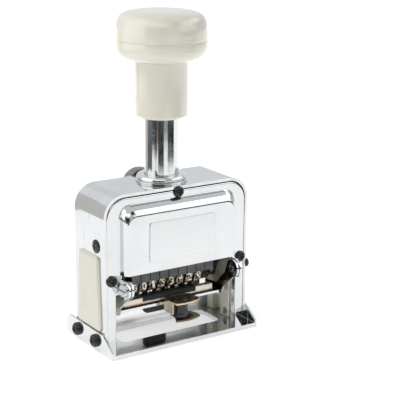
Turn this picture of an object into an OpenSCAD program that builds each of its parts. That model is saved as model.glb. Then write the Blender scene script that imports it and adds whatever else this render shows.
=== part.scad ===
// Hand numbering machine: a sprung plunger carries eight number wheels down
// through the frame, and an ink pad swings out of their way as they descend.
// Origin: centre of the base's underside. +Z is up and the front faces -Y.

/* [Frame] */
// Width across the frame's side walls
frame_w = 74; // [72:0.5:86]
// Depth of the frame from front to back
frame_d = 26; // [25:0.5:30]
// Height of the frame's top above the table
frame_top = 70.4; // [69:0.2:80]
// Sheet thickness of the frame
shell_t = 1.4; // [1:0.1:1.8]
// Outer radius of the frame's upper corners
corner_r = 10; // [7:0.5:12]

/* [Covers] */
// Sheet thickness of the front and rear covers
cover_t = 1.2; // [0.8:0.1:1.5]
// Gap round a cover inside the frame
cover_gap = 0.1; // [0.05:0.05:0.3]
// Width of the raised panel where it leaves the front cover
pan_w = 58.6; // [56:0.2:62]
// Height of the raised panel's lower edge above the table
pan_bottom = 35; // [34.5:0.5:37]
// Margin of flat cover above the raised panel
pan_top_margin = 3.6; // [3:0.2:5]
// How far the raised panel stands out of the cover
pan_rise = 4.2; // [3:0.2:5]
// Width of the panel's side bevels
pan_bevel = 2.7; // [2:0.1:3.5]
// Width of the panel's upper bevel
pan_top_bevel = 4; // [3:0.2:5]
// Wall of the raised panel
pan_wall = 1.1; // [0.8:0.1:1.3]
// Width of the front opening beside the wheels
mouth_w = 62.4; // [60:0.4:64]
// Height of the step where the front opening widens
mouth_step = 25.8; // [24:0.2:26]
// Depth of the return flanges beside the front opening
flange_d = 2.6; // [1.5:0.1:2.6]
// Width of the label plate
label_w = 34; // [28:0.5:40]
// Height of the label plate
label_h = 18; // [14:0.5:20]
// Thickness of the label plate
label_t = 0.5; // [0.3:0.1:0.8]
// Height of the label plate's middle above the table
label_z = 48.2; // [46:0.2:50]

/* [Base] */
// Depth of the base plate
base_d = 42; // [41:0.5:46]
// Thickness of the base plate
plate_t = 2.1; // [1.5:0.1:2.2]
// Thickness of the aprons beside the frame
apron_t = 1; // [0.8:0.1:1.5]
// Height of the aprons
apron_h = 9; // [8.5:0.1:10]
// Height of the aprons at their front edge
apron_nose_h = 3.2; // [2.6:0.2:4]
// Width of the printing window
window_w = 51.4; // [50:0.2:54]
// Front edge of the printing window
window_front = -9.3; // [-10.5:0.1:-9]
// Rear edge of the printing window
window_rear = 7.2; // [7:0.1:9]
// Corner radius of the printing window
window_r = 3; // [1:0.5:4]

/* [Side panels] */
// Depth of a side panel along its foot
panel_d = 20.2; // [19:0.1:21]
// How much further back the panel's front edge lies at its top
panel_front_lean = 1.7; // [0:0.1:2.5]
// How much further forward the panel's rear edge lies at its top
panel_rear_lean = 1.5; // [0:0.1:2.5]
// Height of a side panel
panel_h = 34; // [30:0.2:34.4]
// Rear edge of a side panel at its foot
panel_rear = 9.7; // [9.4:0.1:10.4]
// How far a side panel stands out of the frame
panel_proud = 1.2; // [0.6:0.1:2]
// Gap between a side panel's inner face and the inker's ears
panel_gap = 1; // [0.6:0.1:2]
// Front edge of a side panel's inner block
panel_block_front = -8.9; // [-9:0.1:-8]
// Front edge of the channel in a side panel's inner face
channel_front = -2.5; // [-3:0.1:-1]
// Depth of that channel from front to back
channel_d = 6.4; // [4:0.1:8]
// Corner radius of a side panel
panel_r = 2.6; // [1:0.2:4]

/* [Plunger] */
// How far the plunger travels
press_travel = 19.8; // [18:0.1:20]
// Radius of the plunger tube
tube_r = 7.6; // [7:0.1:8]
// Wall of the plunger tube
tube_wall = 1.2; // [0.8:0.1:1.5]
// Distance of the plunger's axis behind the frame's middle
tube_y = 1; // [0.7:0.1:1.3]
// Radius of the collar's flange
collar_r = 11.6; // [10.8:0.1:12.4]
// Height of the collar's flange
collar_h = 3; // [2.9:0.1:4]
// Radial clearance of the running fits
run_fit = 0.05; // [0.02:0.01:0.08]
// Height of the fixed bridge that crosses the plunger tube
bridge_h = 4; // [3:0.1:4]
// Depth of the fixed bridge
bridge_d = 4.4; // [3:0.1:5]
// Wire radius of the return spring
wire_r = 0.6; // [0.4:0.05:0.7]
// Number of turns of the return spring
spring_turns = 11; // [8:1:14]

/* [Handle] */
// Height of the knob's top above the table
knob_top = 145; // [140:0.5:160]
// Height of the knob
knob_h = 21.4; // [19:0.2:24]
// Radius of the knob
knob_r = 20.1; // [17:0.1:20.4]
// Radius of the sleeve below the knob
sleeve_r = 11.4; // [10.6:0.1:12]
// Length of the sleeve below the knob
sleeve_h = 25; // [22:0.2:26]

/* [Number wheels] */
// Number of number wheels
wheel_count = 8; // [8:1:8]
// Distance from one number wheel to the next
wheel_pitch = 4.75; // [4.6:0.01:4.8]
// Corner radius of a ten-sided number wheel
wheel_r = 10; // [9.6:0.05:10.2]
// Height that a raised digit stands out of its wheel
type_h = 0.5; // [0.3:0.05:0.5]
// Distance of the wheel axle in front of the frame's middle
axle_forward = 1; // [0.6:0.1:1.2]
// Radius of the wheel axle
axle_r = 2.5; // [2:0.1:3]
// Left end of the row of wheels
row_left = -22.6; // [-22.8:0.1:-22.4]
// Width of the spacer between the wheels and the drive ratchet
spacer_w = 3.2; // [2.6:0.1:3.4]

/* [Inker] */
// Distance of the inker's pivots in front of the frame's middle
pivot_forward = 16.5; // [16.3:0.1:17]
// Height of the inker's pivots above the table
pivot_z = 29; // [28.6:0.1:29.4]
// Radius of the inker's pivot pins
pivot_r = 1.6; // [1.2:0.1:1.8]
// Half the distance between the inker's arms
arm_x = 26.6; // [26.2:0.1:26.8]
// Thickness of an inker arm
arm_t = 1.2; // [0.8:0.1:1.3]
// Width of the ink pad
pad_w = 47.2; // [44:0.2:48]
// Depth of the ink pad
pad_d = 10.2; // [9:0.1:10.4]
// Front face of the ink pad
pad_front = -6; // [-6.4:0.1:-5.6]
// Height of the ink pad
pad_h = 4.1; // [3.5:0.1:4.2]
// Gap between the ink pad and the type at rest
pad_gap = 0.3; // [0.2:0.05:0.4]
// Width of the finger tab's leaves at their front corners
tab_w = 13.4; // [12:0.1:14]
// Reach of the finger tab in front of the ink tray
tab_reach = 10.4; // [9.4:0.1:11]
// Height between the finger tab's two leaves
tab_drop = 8; // [7:0.1:8.4]

/* [Selector dial] */
// Radius of the selector dial
dial_r = 8.2; // [7:0.1:8.6]
// Thickness of the selector dial
dial_t = 5.4; // [4:0.1:6]
// Height of the dial's axis above the table
dial_z = 64.7; // [64:0.1:65]
// Sideways place of the dial's axis
dial_x = -2; // [-3:0.2:0]

/* [Screws] */
// Radius of a cover screw's head
head_r = 2.5; // [2:0.1:2.7]
// Height of a cover screw's head
head_h = 1.5; // [1:0.1:2]
// Radius of a base screw's head
foot_head_r = 2.9; // [2.4:0.1:3.1]
// Height of a base screw's head
foot_head_h = 2.2; // [1.4:0.1:2.6]
// Radius of the screws' threads
thread_r = 1.4; // [1:0.1:1.6]

/* [Hidden] */

$fn = 64;
eps = 0.01;

front_y = -frame_d / 2;
rear_y = frame_d / 2;
inner_x = frame_w / 2 - shell_t;
cover_x = inner_x - cover_gap;
cover_top = frame_top - shell_t - cover_gap;
cover_corner_r = corner_r - shell_t - cover_gap;
base_w = frame_w + 2 * apron_t;
pan_front_y = front_y - pan_rise;
pan_top = cover_top - pan_top_margin;

// Front cover screws: one at the top, one at each side, as [x, z]
cover_screw_x = (pan_w / 2 + frame_w / 2) / 2 + 0.3;
cover_screw_z = pan_bottom - 2.2;
top_screw_z = (pan_top + frame_top) / 2;
front_places = [[0, top_screw_z], [-cover_screw_x, cover_screw_z], [cover_screw_x, cover_screw_z]];

// Rear cover screws: clear of the dial and of the side panels, as [x, z]
rear_edge = 2.05;
rear_high_x = frame_w / 2 - corner_r - head_r - 0.5;
rear_high_z = top_screw_z - 1;
rear_low_x = cover_x - rear_edge;
rear_low_z = apron_h + panel_h + 8;
rear_places = [for (s = [-1, 1]) each [[s * rear_high_x, rear_high_z], [s * rear_low_x, rear_low_z]]];

// Lugs inside the frame that the cover screws thread into
lug_t = 1.2;
lug_half = 3.2;

// Base screws: two in each apron, as [y, z]
base_screw_z = 4.7;
base_screws = [[-6.3, base_screw_z], [10.1, base_screw_z]];

// The plunger's parts, from the wheels upwards
axle_y = -axle_forward;
paper_gap = 0.1;
type_reach = wheel_r * cos(18) + type_h;
axle_z = type_reach + press_travel + paper_gap;
pawl_bar_r = 1.2;
pawl_reach = 12.6;
head_gap = 0.6;
pawl_eye_r = pawl_bar_r + 0.4;
carriage_head_z = axle_z + pawl_reach + pawl_bar_r + head_gap;
carriage_head_t = 2.2;
tube_bottom = carriage_head_z + carriage_head_t;
foot_h = 1.8;
rivet_r = 4.4;
bridge_z = tube_bottom + foot_h + 0.6;
bridge_slot_gap = 0.3;
slot_top = bridge_z + bridge_h + press_travel + bridge_slot_gap;
knob_base = knob_top - knob_h;
knob_split = knob_base + 0.4 * knob_h;
sleeve_bottom = knob_base - sleeve_h;
tube_top = knob_base - 6;
tube_bore = tube_r - tube_wall;
barrel_r = tube_r + 1.1;
cap_h = 5;
cap_rim_h = 1.5;
stud_r = 1.95;
coil_r = tube_bore - wire_r - 0.5;
seam_step = 0.25;
seam_h = 0.6;

// Bridge ends, held by the flat side screws
bridge_end_t = 1.2;
bridge_end_d = 18;
bridge_end_h = 8.6;
bridge_end_drop = 4.4;
panel_lift = 0.2;
channel_t = 3;
side_screw_y = -6.2;
side_screw_z = bridge_z - 1.6;

// A short screw in the right wall, at its front edge
edge_screw_y = front_y + 1;
edge_shank_r = 0.9;
edge_head_r = 2.2;

// The carriage and what it holds
row_right = row_left + wheel_count * wheel_pitch;
side_gap = 0.3;
drive_left = row_right + side_gap + spacer_w;
ratchet_t = 0.7;
wheel_gap = 0.15;
pawl_arm_t = 1;
carriage_side_t = 1.2;
carriage_left = row_left - pawl_arm_t - 2 * side_gap;
drum_w = 3;
carriage_right = drive_left + pawl_arm_t + 2 * side_gap + drum_w;
clip_t = 0.5;
clip_wall = 1.3;

// Pawls swing about the axle; their bar stands over the wheels at rest
pawl_angle = 84;
bar_y = axle_y + pawl_reach * cos(pawl_angle);
bar_z = axle_z + pawl_reach * sin(pawl_angle);
pawl_left = row_left - side_gap - pawl_arm_t;
pawl_right = drive_left + side_gap;

// The comb in front of the wheels
comb_t = 0.5;
comb_gap = 0.4;
comb_back_y = axle_y - wheel_r - type_h - comb_gap;
comb_bottom = axle_z - 0.8;
comb_fingers = 9;
comb_left = row_left - 0.7;

// The inker
pivot_y = -pivot_forward;
pad_top = axle_z - type_reach - pad_gap;
pad_bottom = pad_top - pad_h;
tray_t = 0.55;
tray_gap = 0.05;
tray_bottom = pad_bottom - tray_gap - tray_t;
rail_t = 0.5;
inker_bottom = tray_bottom - tray_gap - rail_t;
pad_rear = pad_front + pad_d;
inker_rear = pad_rear + 0.8;
tray_front = pad_front - 1.3;
ear_t = 1.2;
ear_x = arm_x + arm_t + 0.3;
ear_r = 4.3;
tab_x = 3.5;
tab_t = 0.8;
tab_z = pad_bottom + 1.6;
tab_front = tray_front - tab_reach;
tab_left = tab_x - tab_w / 2;
tab_right = tab_x + tab_w / 2;
tab_nose_r = 16.2;
tab_nose_x = tab_x - 1.1;
tab_web_w = 4.6;

// The bent wall at the finger tab's left edge, with a slot between two ridges
tab_wall_x = tab_left - 0.4;
tab_wall_t = 0.7;
tab_wall_d = 7;
tab_wall_h = 5.9;
tab_slot_set = 4;
tab_slot_w = 1.1;

// The catch between the finger tab's leaves: a turned post with a foot
catch_r = 3.6;
catch_x = tab_x - 1.7;
catch_y = tray_front - 5.1;
catch_groove_h = 0.7;
catch_groove_d = 0.5;
catch_foot_w = 1.9;
catch_foot_d = 2;
catch_foot_h = 2.4;
catch_foot_t = 0.7;

// The drive ratchet: a large and a small ratchet with a drum between them
drive_r = 8.4;
drive_root = 6.8;
drive_t = 1.6;
drum_r = 5.6;
small_r = 7.4;
small_root = 6;
small_t = 1;

// The rubber buffer inside the rear cover
buffer_w = 11.6;
buffer_h = 11.8;
buffer_t = 1.6;
buffer_r = 1.8;
buffer_x = 2.5;
buffer_z = 4.6;

// The selector dial
cam_r = 3.2;
cam_lobe_r = 2;
cam_lobe = 1.7;
dial_gap = 1;
dial_shaft_r = 2;
cam_t = 1.2;
cam_y = rear_y - cover_t - cam_t - 0.1;
dial_front = rear_y + dial_gap;

// ---- shared shapes -------------------------------------------------------

// A flat outline in the XZ plane, made solid from y0 to y0 + t
module in_xz(y0, t) translate([0, y0 + t, 0]) rotate([90, 0, 0]) linear_extrude(t) children();

// A flat outline in the YZ plane, made solid from x0 to x0 + t
module in_yz(x0, t) translate([x0, 0, 0]) rotate([90, 0, 90]) linear_extrude(t) children();

// A cylinder along X
module rod_x(x0, x1, r, y, z) translate([x0, y, z]) rotate([0, 90, 0]) cylinder(h = x1 - x0, r = r);

// A cylinder along Y
module rod_y(y0, y1, r, x, z) translate([x, y0, z]) rotate([-90, 0, 0]) cylinder(h = y1 - y0, r = r);

// A rectangle with four round corners, from its lower left corner
module round_rect(x0, y0, w, h, r) {
    translate([x0 + r, y0]) square([w - 2 * r, h]);
    translate([x0, y0 + r]) square([w, h - 2 * r]);
    for (x = [x0 + r, x0 + w - r], y = [y0 + r, y0 + h - r]) translate([x, y]) circle(r);
}

// An arch: straight sides and foot, with round upper corners
module arch(half_w, foot, top, r) {
    translate([-half_w, foot]) square([2 * half_w, top - foot - r]);
    translate([-half_w + r, foot]) square([2 * half_w - 2 * r, top - foot]);
    for (s = [-1, 1]) translate([s * (half_w - r), top - r]) circle(r);
}

// Points along an arc of n steps
function arc(cx, cy, r, a0, a1, n) = [
    for (i = [0:n])
        let (a = a0 + (a1 - a0) * i / n)
        [cx + r * cos(a), cy + r * sin(a)]
];

// A pan-head screw along +X from its head's seat, with a cross recess
module pan_screw(r, h, length, shank_r = thread_r) {
    dome = h * 0.72;
    flat_share = 0.28;
    recess = h * 0.5;
    difference() {
        union() {
            rotate([0, 90, 0]) rotate_extrude() polygon(concat(
                [[0, 0], [r, 0], [r, h - dome]],
                [for (i = [1:6])
                    let (a = 15 * i)
                    [r * (flat_share + (1 - flat_share) * cos(a)), h - dome + dome * sin(a)]],
                [[0, h]]
            ));
            translate([-length, 0, 0]) rotate([0, 90, 0]) cylinder(h = length + eps, r = shank_r);
        }
        for (a = [0, 90]) rotate([a, 0, 0]) translate([h - recess, -r * 0.55, -r * 0.13])
            cube([h, r * 1.1, r * 0.26]);
    }
}

// ---- frame, covers and base ---------------------------------------------

module apron_outline() {
    rear = base_d / 2;
    rear_r = 4;
    slope_end = front_y + 0.5;
    polygon(concat(
        [[-rear, 0], [-rear, apron_nose_h], [slope_end, apron_h]],
        arc(rear - rear_r, apron_h - rear_r, rear_r, 90, 0, 8),
        [[rear, 0]]
    ));
}

module base() color("gainsboro") difference() {
    union() {
        difference() {
            translate([-base_w / 2, -base_d / 2, 0]) cube([base_w, base_d, plate_t]);
            translate([0, 0, -1]) linear_extrude(plate_t + 2)
                round_rect(-window_w / 2, window_front, window_w, window_rear - window_front, window_r);
        }
        in_yz(-base_w / 2, apron_t) apron_outline();
        in_yz(base_w / 2 - apron_t, apron_t) apron_outline();
    }
    for (p = base_screws) rod_x(-base_w, base_w, thread_r + run_fit, p[0], p[1]);
}

module shell_outline(inset) arch(frame_w / 2 - inset, plate_t, frame_top - inset, corner_r - inset);

// A side panel's outline in the YZ plane, grown by gap: its front and rear edges lean towards each other
module panel_outline(gap) {
    r = panel_r + gap;
    low = apron_h + panel_lift - gap;
    high = apron_h + panel_lift + panel_h + gap;
    rear = panel_rear + gap;
    front = panel_rear - panel_d - gap;
    rear_at = function(z) rear - panel_rear_lean * (z - low) / (high - low);
    front_at = function(z) front + panel_front_lean * (z - low) / (high - low);
    polygon(concat(
        arc(rear_at(low + r) - r, low + r, r, -90, 0, 8),
        arc(rear_at(high - r) - r, high - r, r, 0, 90, 8),
        arc(front_at(high - r) + r, high - r, r, 90, 180, 8),
        arc(front_at(low + r) + r, low + r, r, 180, 270, 8)
    ));
}

// A lug behind a cover: it reaches from a screw to the wall or roof next to it
module lug(place, y0) {
    x = place[0];
    z = place[1];
    at_side = abs(x) > inner_x - corner_r + shell_t;
    wall = inner_x + shell_t / 2;
    if (at_side)
        translate([x > 0 ? x - lug_half + 1 : -wall, y0, z - lug_half])
            cube([wall - abs(x) + lug_half - 1, lug_t, 2 * lug_half]);
    else
        translate([x - lug_half, y0, z - lug_half + 1])
            cube([2 * lug_half, lug_t, frame_top - shell_t / 2 - z + lug_half - 1]);
}

module outer_shell() color("silver") difference() {
    barrel_hole_r = barrel_r + run_fit;
    union() {
        in_xz(front_y, frame_d) difference() {
            shell_outline(0);
            translate([0, -eps]) shell_outline(shell_t);
            translate([-inner_x, 0]) square([2 * inner_x, plate_t + 1]);
        }
        for (p = front_places) lug(p, front_y + cover_t);
        for (p = rear_places) lug(p, rear_y - cover_t - lug_t);
    }
    for (p = front_places) rod_y(front_y, 0, thread_r + run_fit, p[0], p[1]);
    for (p = rear_places) rod_y(0, rear_y, thread_r + run_fit, p[0], p[1]);
    translate([0, tube_y, frame_top - corner_r]) cylinder(h = 2 * corner_r, r = barrel_hole_r);
    in_yz(-frame_w, 2 * frame_w) panel_outline(cover_gap);
    for (p = base_screws) rod_x(-frame_w, frame_w, thread_r + run_fit, p[0], p[1]);
    rod_x(-frame_w, frame_w, thread_r + run_fit, side_screw_y, side_screw_z);
    rod_x(0, frame_w, edge_shank_r + run_fit, edge_screw_y, pivot_z);
}

// The raised panel as a solid block, shrunk by inset
module pan_block(inset) {
    w = pan_w / 2 - inset;
    top = pan_top - inset;
    low = pan_bottom - (inset > 0 ? 2 : 0);
    back_y = front_y + (inset > 0 ? cover_t + 1 : eps);
    tip_y = pan_front_y + inset;
    hull() {
        translate([0, back_y - eps, 0]) in_xz(0, eps) arch(w, low, top, 4);
        translate([0, tip_y, 0]) in_xz(0, eps) arch(w - pan_bevel, low, top - pan_top_bevel, 2.4);
    }
}

module pivot_ear(side) {
    x0 = side > 0 ? ear_x : -ear_x - ear_t;
    difference() {
        in_yz(x0, ear_t) union() {
            translate([pivot_y, pivot_z]) circle(ear_r);
            translate([pivot_y, pivot_z - ear_r]) square([front_y - pivot_y + cover_t, 2 * ear_r]);
        }
        rod_x(-frame_w, frame_w, pivot_r + run_fit, pivot_y, pivot_z);
    }
}

module front_cover() color("silver") {
    difference() {
        union() {
            in_xz(front_y, cover_t) difference() {
                arch(cover_x, plate_t, cover_top, cover_corner_r);
                translate([-mouth_w / 2, 0]) square([mouth_w, mouth_step]);
                translate([-ear_x, 0]) square([2 * ear_x, pan_bottom]);
                for (p = front_places) translate(p) circle(thread_r + run_fit);
            }
            pan_block(0);
        }
        pan_block(pan_wall);
        translate([-ear_x, front_y, 0]) cube([2 * ear_x, cover_t, pan_bottom]);
    }
    for (side = [-1, 1]) pivot_ear(side);
    for (x = [-mouth_w / 2 - cover_t, mouth_w / 2])
        translate([x, front_y + cover_t - eps, plate_t])
            cube([cover_t, flange_d + eps, mouth_step - plate_t]);
}

module rear_cover() color("silver") in_xz(rear_y - cover_t, cover_t) difference() {
    arch(cover_x, plate_t, cover_top, cover_corner_r);
    for (p = rear_places) translate(p) circle(thread_r + run_fit);
    translate([dial_x, dial_z]) circle(dial_shaft_r + run_fit);
}

module label_plate() color("whitesmoke") in_xz(pan_front_y - label_t, label_t)
    round_rect(-label_w / 2, label_z - label_h / 2, label_w, label_h, 1);

// The outer plate of a side panel, which fills the window in the frame's wall and is bevelled all round
module panel_plate(side) {
    bevel = panel_proud * 0.85 * sqrt(2);
    in_x = frame_w / 2 - shell_t;
    out_x = frame_w / 2 + panel_proud;
    low = apron_h + panel_lift;
    front = panel_rear - panel_d;
    difference() {
        in_yz(side > 0 ? in_x : -out_x, out_x - in_x) panel_outline(0);
        for (edge = [[panel_rear, panel_rear_lean], [front, -panel_front_lean]])
            translate([side * out_x, edge[0], low]) rotate([atan(edge[1] / panel_h), 0, 0]) rotate([0, 0, 45])
                cube([bevel, bevel, 3 * panel_h], center = true);
        for (z = [low, low + panel_h])
            translate([side * out_x, 0, z]) rotate([0, 45, 0])
                cube([bevel, 3 * panel_d, bevel], center = true);
    }
}

// The moulded block behind that plate: it stands on the base and has a channel down its inner face
module panel_block(side) {
    in_x = ear_x + ear_t + panel_gap;
    wall_x = inner_x - cover_gap;
    low = plate_t + panel_lift;
    rear = panel_rear - panel_rear_lean;
    high = apron_h + panel_lift + panel_h - panel_r;
    difference() {
        translate([side > 0 ? in_x : -wall_x, panel_block_front, low])
            cube([wall_x - in_x, rear - panel_block_front, high - low]);
        translate([side > 0 ? in_x - 1 : -in_x - channel_t, channel_front, low - 1])
            cube([channel_t + 1, channel_d, high - low + 2]);
        for (p = base_screws) rod_x(-frame_w, frame_w, thread_r + side_gap, p[0], p[1]);
    }
    tie_in = 1;
    tie_x = side > 0 ? wall_x - tie_in : -inner_x - tie_in / 2;
    translate([tie_x, panel_block_front + tie_in, low + panel_h / 2])
        cube([cover_gap + 1.5 * tie_in, rear - panel_block_front - 2 * tie_in, panel_h / 4]);
}

module side_panel(side) color("cornsilk") {
    panel_plate(side);
    panel_block(side);
}

module side_panel_left() side_panel(-1);

module side_panel_right() side_panel(1);

module collar() color("silver") translate([0, tube_y, 0]) difference() {
    chamfer = 0.9;
    barrel_h = 7;
    rotate_extrude() polygon([
        [0, frame_top - barrel_h],
        [barrel_r, frame_top - barrel_h],
        [barrel_r, frame_top],
        [collar_r, frame_top],
        [collar_r, frame_top + collar_h - chamfer],
        [collar_r - chamfer, frame_top + collar_h],
        [0, frame_top + collar_h]
    ]);
    translate([0, 0, frame_top - 2 * barrel_h]) cylinder(h = 4 * barrel_h, r = tube_r + run_fit);
}

module spring_bridge() color("slategray") {
    translate([-inner_x + bridge_end_t, tube_y - bridge_d / 2, bridge_z])
        cube([2 * (inner_x - bridge_end_t), bridge_d, bridge_h]);
    for (x = [-inner_x, inner_x - bridge_end_t]) difference() {
        translate([x, -bridge_end_d / 2, bridge_z - bridge_end_drop])
            cube([bridge_end_t, bridge_end_d, bridge_end_h]);
        rod_x(-frame_w, frame_w, thread_r + run_fit, side_screw_y, side_screw_z);
    }
}

module rear_buffer() color("black")
    in_xz(rear_y - cover_t - buffer_t, buffer_t)
        round_rect(buffer_x - buffer_w / 2, buffer_z, buffer_w, buffer_h, buffer_r);

// ---- screws and pins -----------------------------------------------------

module front_screws() color("black") for (p = front_places)
    translate([p[0], front_y, p[1]]) rotate([0, 0, -90]) pan_screw(head_r, head_h, cover_t + lug_t);

module rear_screws() color("black") for (p = rear_places)
    translate([p[0], rear_y, p[1]]) rotate([0, 0, 90]) pan_screw(head_r, head_h, cover_t + lug_t);

module side_screws() color("black") for (s = [-1, 1])
    translate([s * frame_w / 2, side_screw_y, side_screw_z]) rotate([0, 0, s > 0 ? 0 : 180])
        pan_screw(head_r + 0.5, head_h * 0.5, shell_t + bridge_end_t);

module edge_screw() color("black") translate([frame_w / 2, edge_screw_y, pivot_z])
    pan_screw(edge_head_r, head_h, shell_t, edge_shank_r);

module base_screws() color("black") for (s = [-1, 1], p = base_screws)
    translate([s * base_w / 2, p[0], p[1]]) rotate([0, 0, s > 0 ? 0 : 180])
        pan_screw(foot_head_r, foot_head_h, apron_t + shell_t + 1);

module inker_pivot_pins() color("silver") for (s = [-1, 1]) {
    inner = s * (arm_x - 0.4);
    outer = s * (ear_x + ear_t);
    rod_x(min(inner, outer), max(inner, outer), pivot_r, pivot_y, pivot_z);
    difference() {
        rod_x(min(outer, outer + s), max(outer, outer + s), pivot_r + 1.2, pivot_y, pivot_z);
        translate([outer + s * 1.1 - 0.6, pivot_y - 5, pivot_z - 0.3]) cube([1.2, 10, 0.6]);
    }
}

// ---- plunger and handle --------------------------------------------------

module plunger_tube() color("silver") translate([0, tube_y, 0]) difference() {
    translate([0, 0, tube_bottom]) cylinder(h = tube_top - tube_bottom, r = tube_r);
    translate([0, 0, tube_bottom - 1]) cylinder(h = tube_top - tube_bottom + 2, r = tube_bore);
    slot_w = bridge_d + 2 * bridge_slot_gap;
    translate([-2 * tube_r, -slot_w / 2, bridge_z - bridge_slot_gap])
        cube([4 * tube_r, slot_w, slot_top - bridge_z + bridge_slot_gap]);
}

module tube_foot() color("gray") translate([0, tube_y, 0]) {
    translate([0, 0, tube_bottom]) cylinder(h = foot_h, r = tube_bore - run_fit);
    translate([0, 0, carriage_head_z]) cylinder(h = carriage_head_t + eps, r = rivet_r);
}

module tube_cap() color("gray") translate([0, tube_y, 0]) difference() {
    union() {
        translate([0, 0, tube_top - cap_h]) cylinder(h = cap_h + eps, r = tube_bore - run_fit);
        translate([0, 0, tube_top]) cylinder(h = cap_rim_h, r = tube_r);
    }
    translate([0, 0, tube_top - cap_h - 1]) cylinder(h = cap_h + 4, r = stud_r + run_fit);
}

// A coil of wire swept along a helix
module coil(radius, wire, z0, z1, turns) {
    sides = 6;
    per_turn = 12;
    rings = turns * per_turn;
    rise = z1 - z0 - 2 * wire;
    points = [for (i = [0:rings], j = [0:sides - 1])
        let (a = 360 * i / per_turn, b = 360 * j / sides)
        let (r = radius + wire * cos(b), z = z0 + wire + rise * i / rings + wire * sin(b))
        [r * cos(a), r * sin(a), z]];
    walls = [for (i = [0:rings - 1], j = [0:sides - 1])
        let (k = (j + 1) % sides)
        [i * sides + j, i * sides + k, (i + 1) * sides + k, (i + 1) * sides + j]];
    start = [for (j = [0:sides - 1]) sides - 1 - j];
    end = [for (j = [0:sides - 1]) rings * sides + j];
    polyhedron(points, concat(walls, [start], [end]));
}

module return_spring() color("dimgray") translate([0, tube_y, 0])
    coil(coil_r, wire_r, bridge_z + bridge_h + 0.05, tube_top - cap_h - 0.05, spring_turns);

module handle_sleeve() color("cornsilk") translate([0, tube_y, 0]) difference() {
    round_r = 1.6;
    lip = 1;
    rotate_extrude() polygon(concat(
        [[0, sleeve_bottom], [sleeve_r - 1.8, sleeve_bottom], [sleeve_r - 1.8, sleeve_bottom + lip]],
        arc(sleeve_r - round_r, sleeve_bottom + lip + round_r, round_r, -90, 0, 6),
        [[sleeve_r, knob_base], [0, knob_base]]
    ));
    translate([0, 0, sleeve_bottom - 1])
        cylinder(h = tube_top + cap_rim_h - sleeve_bottom + 1, r = tube_r + run_fit);
    translate([0, 0, sleeve_bottom]) cylinder(h = sleeve_h + 1, r = stud_r + run_fit);
}

module knob_ring() color("cornsilk") translate([0, tube_y, 0]) difference() {
    rim_r = 0.24 * knob_h;
    rotate_extrude() polygon(concat(
        [[0, knob_base], [knob_r - rim_r - 3, knob_base]],
        arc(knob_r - rim_r, knob_base + rim_r + 0.1, rim_r, -80, 0, 8),
        [[knob_r, knob_split - seam_h], [knob_r - seam_step, knob_split], [0, knob_split]]
    ));
    translate([0, 0, knob_base - 1]) cylinder(h = knob_h, r = stud_r + run_fit);
}

module knob_cap() color("cornsilk") translate([0, tube_y, 0]) {
    shoulder_r = 7.1;
    taper = 0.5;
    crown_h = 1.25;
    crown_r = knob_r - taper - shoulder_r * (1 - cos(75));
    shoulder_z = knob_top - crown_h - shoulder_r * sin(75);
    rotate_extrude() polygon(concat(
        [[0, knob_split], [knob_r - seam_step, knob_split], [knob_r, knob_split + seam_h]],
        arc(knob_r - taper - shoulder_r, shoulder_z, shoulder_r, -5, 75, 10),
        [for (i = [4:-1:1])
            let (u = i / 5)
            [u * crown_r, knob_top - crown_h * u * u]],
        [[0, knob_top]]
    ));
}

module knob_screw() color("gray") translate([0, tube_y, 0]) {
    translate([0, 0, tube_top - cap_h + 1]) cylinder(h = knob_split - tube_top + cap_h - 1.4, r = stud_r);
}

// ---- carriage and number wheels -----------------------------------------

module carriage_head() color("slategray") difference() {
    rear = 8.6;
    head_w = carriage_right - carriage_left + 2 * carriage_side_t;
    translate([carriage_left - carriage_side_t, comb_back_y, carriage_head_z])
        cube([head_w, rear - comb_back_y, carriage_head_t]);
    translate([0, tube_y, carriage_head_z - 1]) cylinder(h = carriage_head_t + 2, r = rivet_r + run_fit);
}

module carriage_side(x0) color("lightgray") difference() {
    in_yz(x0, carriage_side_t) polygon([
        [-5.5, axle_z - 6.5],
        [3.5, axle_z - 6.5],
        [7.6, axle_z - 2],
        [7.6, carriage_head_z],
        [comb_back_y + 3, carriage_head_z],
        [comb_back_y + 3, axle_z + 2]
    ]);
    rod_x(-frame_w, frame_w, axle_r + run_fit, axle_y, axle_z);
}

module carriage_side_left() carriage_side(carriage_left - carriage_side_t);

module carriage_side_right() carriage_side(carriage_right);

module wheel_axle() color("silver") {
    over = clip_t + 0.1;
    x0 = carriage_left - carriage_side_t - over;
    x1 = carriage_right + carriage_side_t + over;
    rod_x(x0, x1, axle_r, axle_y, axle_z);
}

module axle_clips() color("silver") {
    left = carriage_left - carriage_side_t - clip_t;
    right = carriage_right + carriage_side_t;
    for (x = [left, right]) difference() {
        rod_x(x, x + clip_t, axle_r + clip_wall, axle_y, axle_z);
        rod_x(x - 1, x + clip_t + 1, axle_r + run_fit, axle_y, axle_z);
    }
}

// A bushing between the wheels and the drive ratchet, with a bright flat lug in front and below
module wheel_spacer() color("white") difference() {
    x0 = row_right + side_gap;
    hub_r = axle_r + 1.9;
    lug_front = pad_front - 0.6;
    lug_low = pad_top + 1.2;
    lug_h = 3.1;
    in_yz(x0, spacer_w) {
        translate([axle_y, axle_z]) circle(hub_r);
        polygon([
            [lug_front, lug_low],
            [lug_front + 1.3, lug_low],
            [axle_y + 1, axle_z - hub_r + 0.6],
            [axle_y - 2, axle_z + hub_r - 1],
            [lug_front, lug_low + lug_h]
        ]);
    }
    rod_x(x0 - 1, x0 + spacer_w + 1, axle_r + run_fit, axle_y, axle_z);
}

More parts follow.
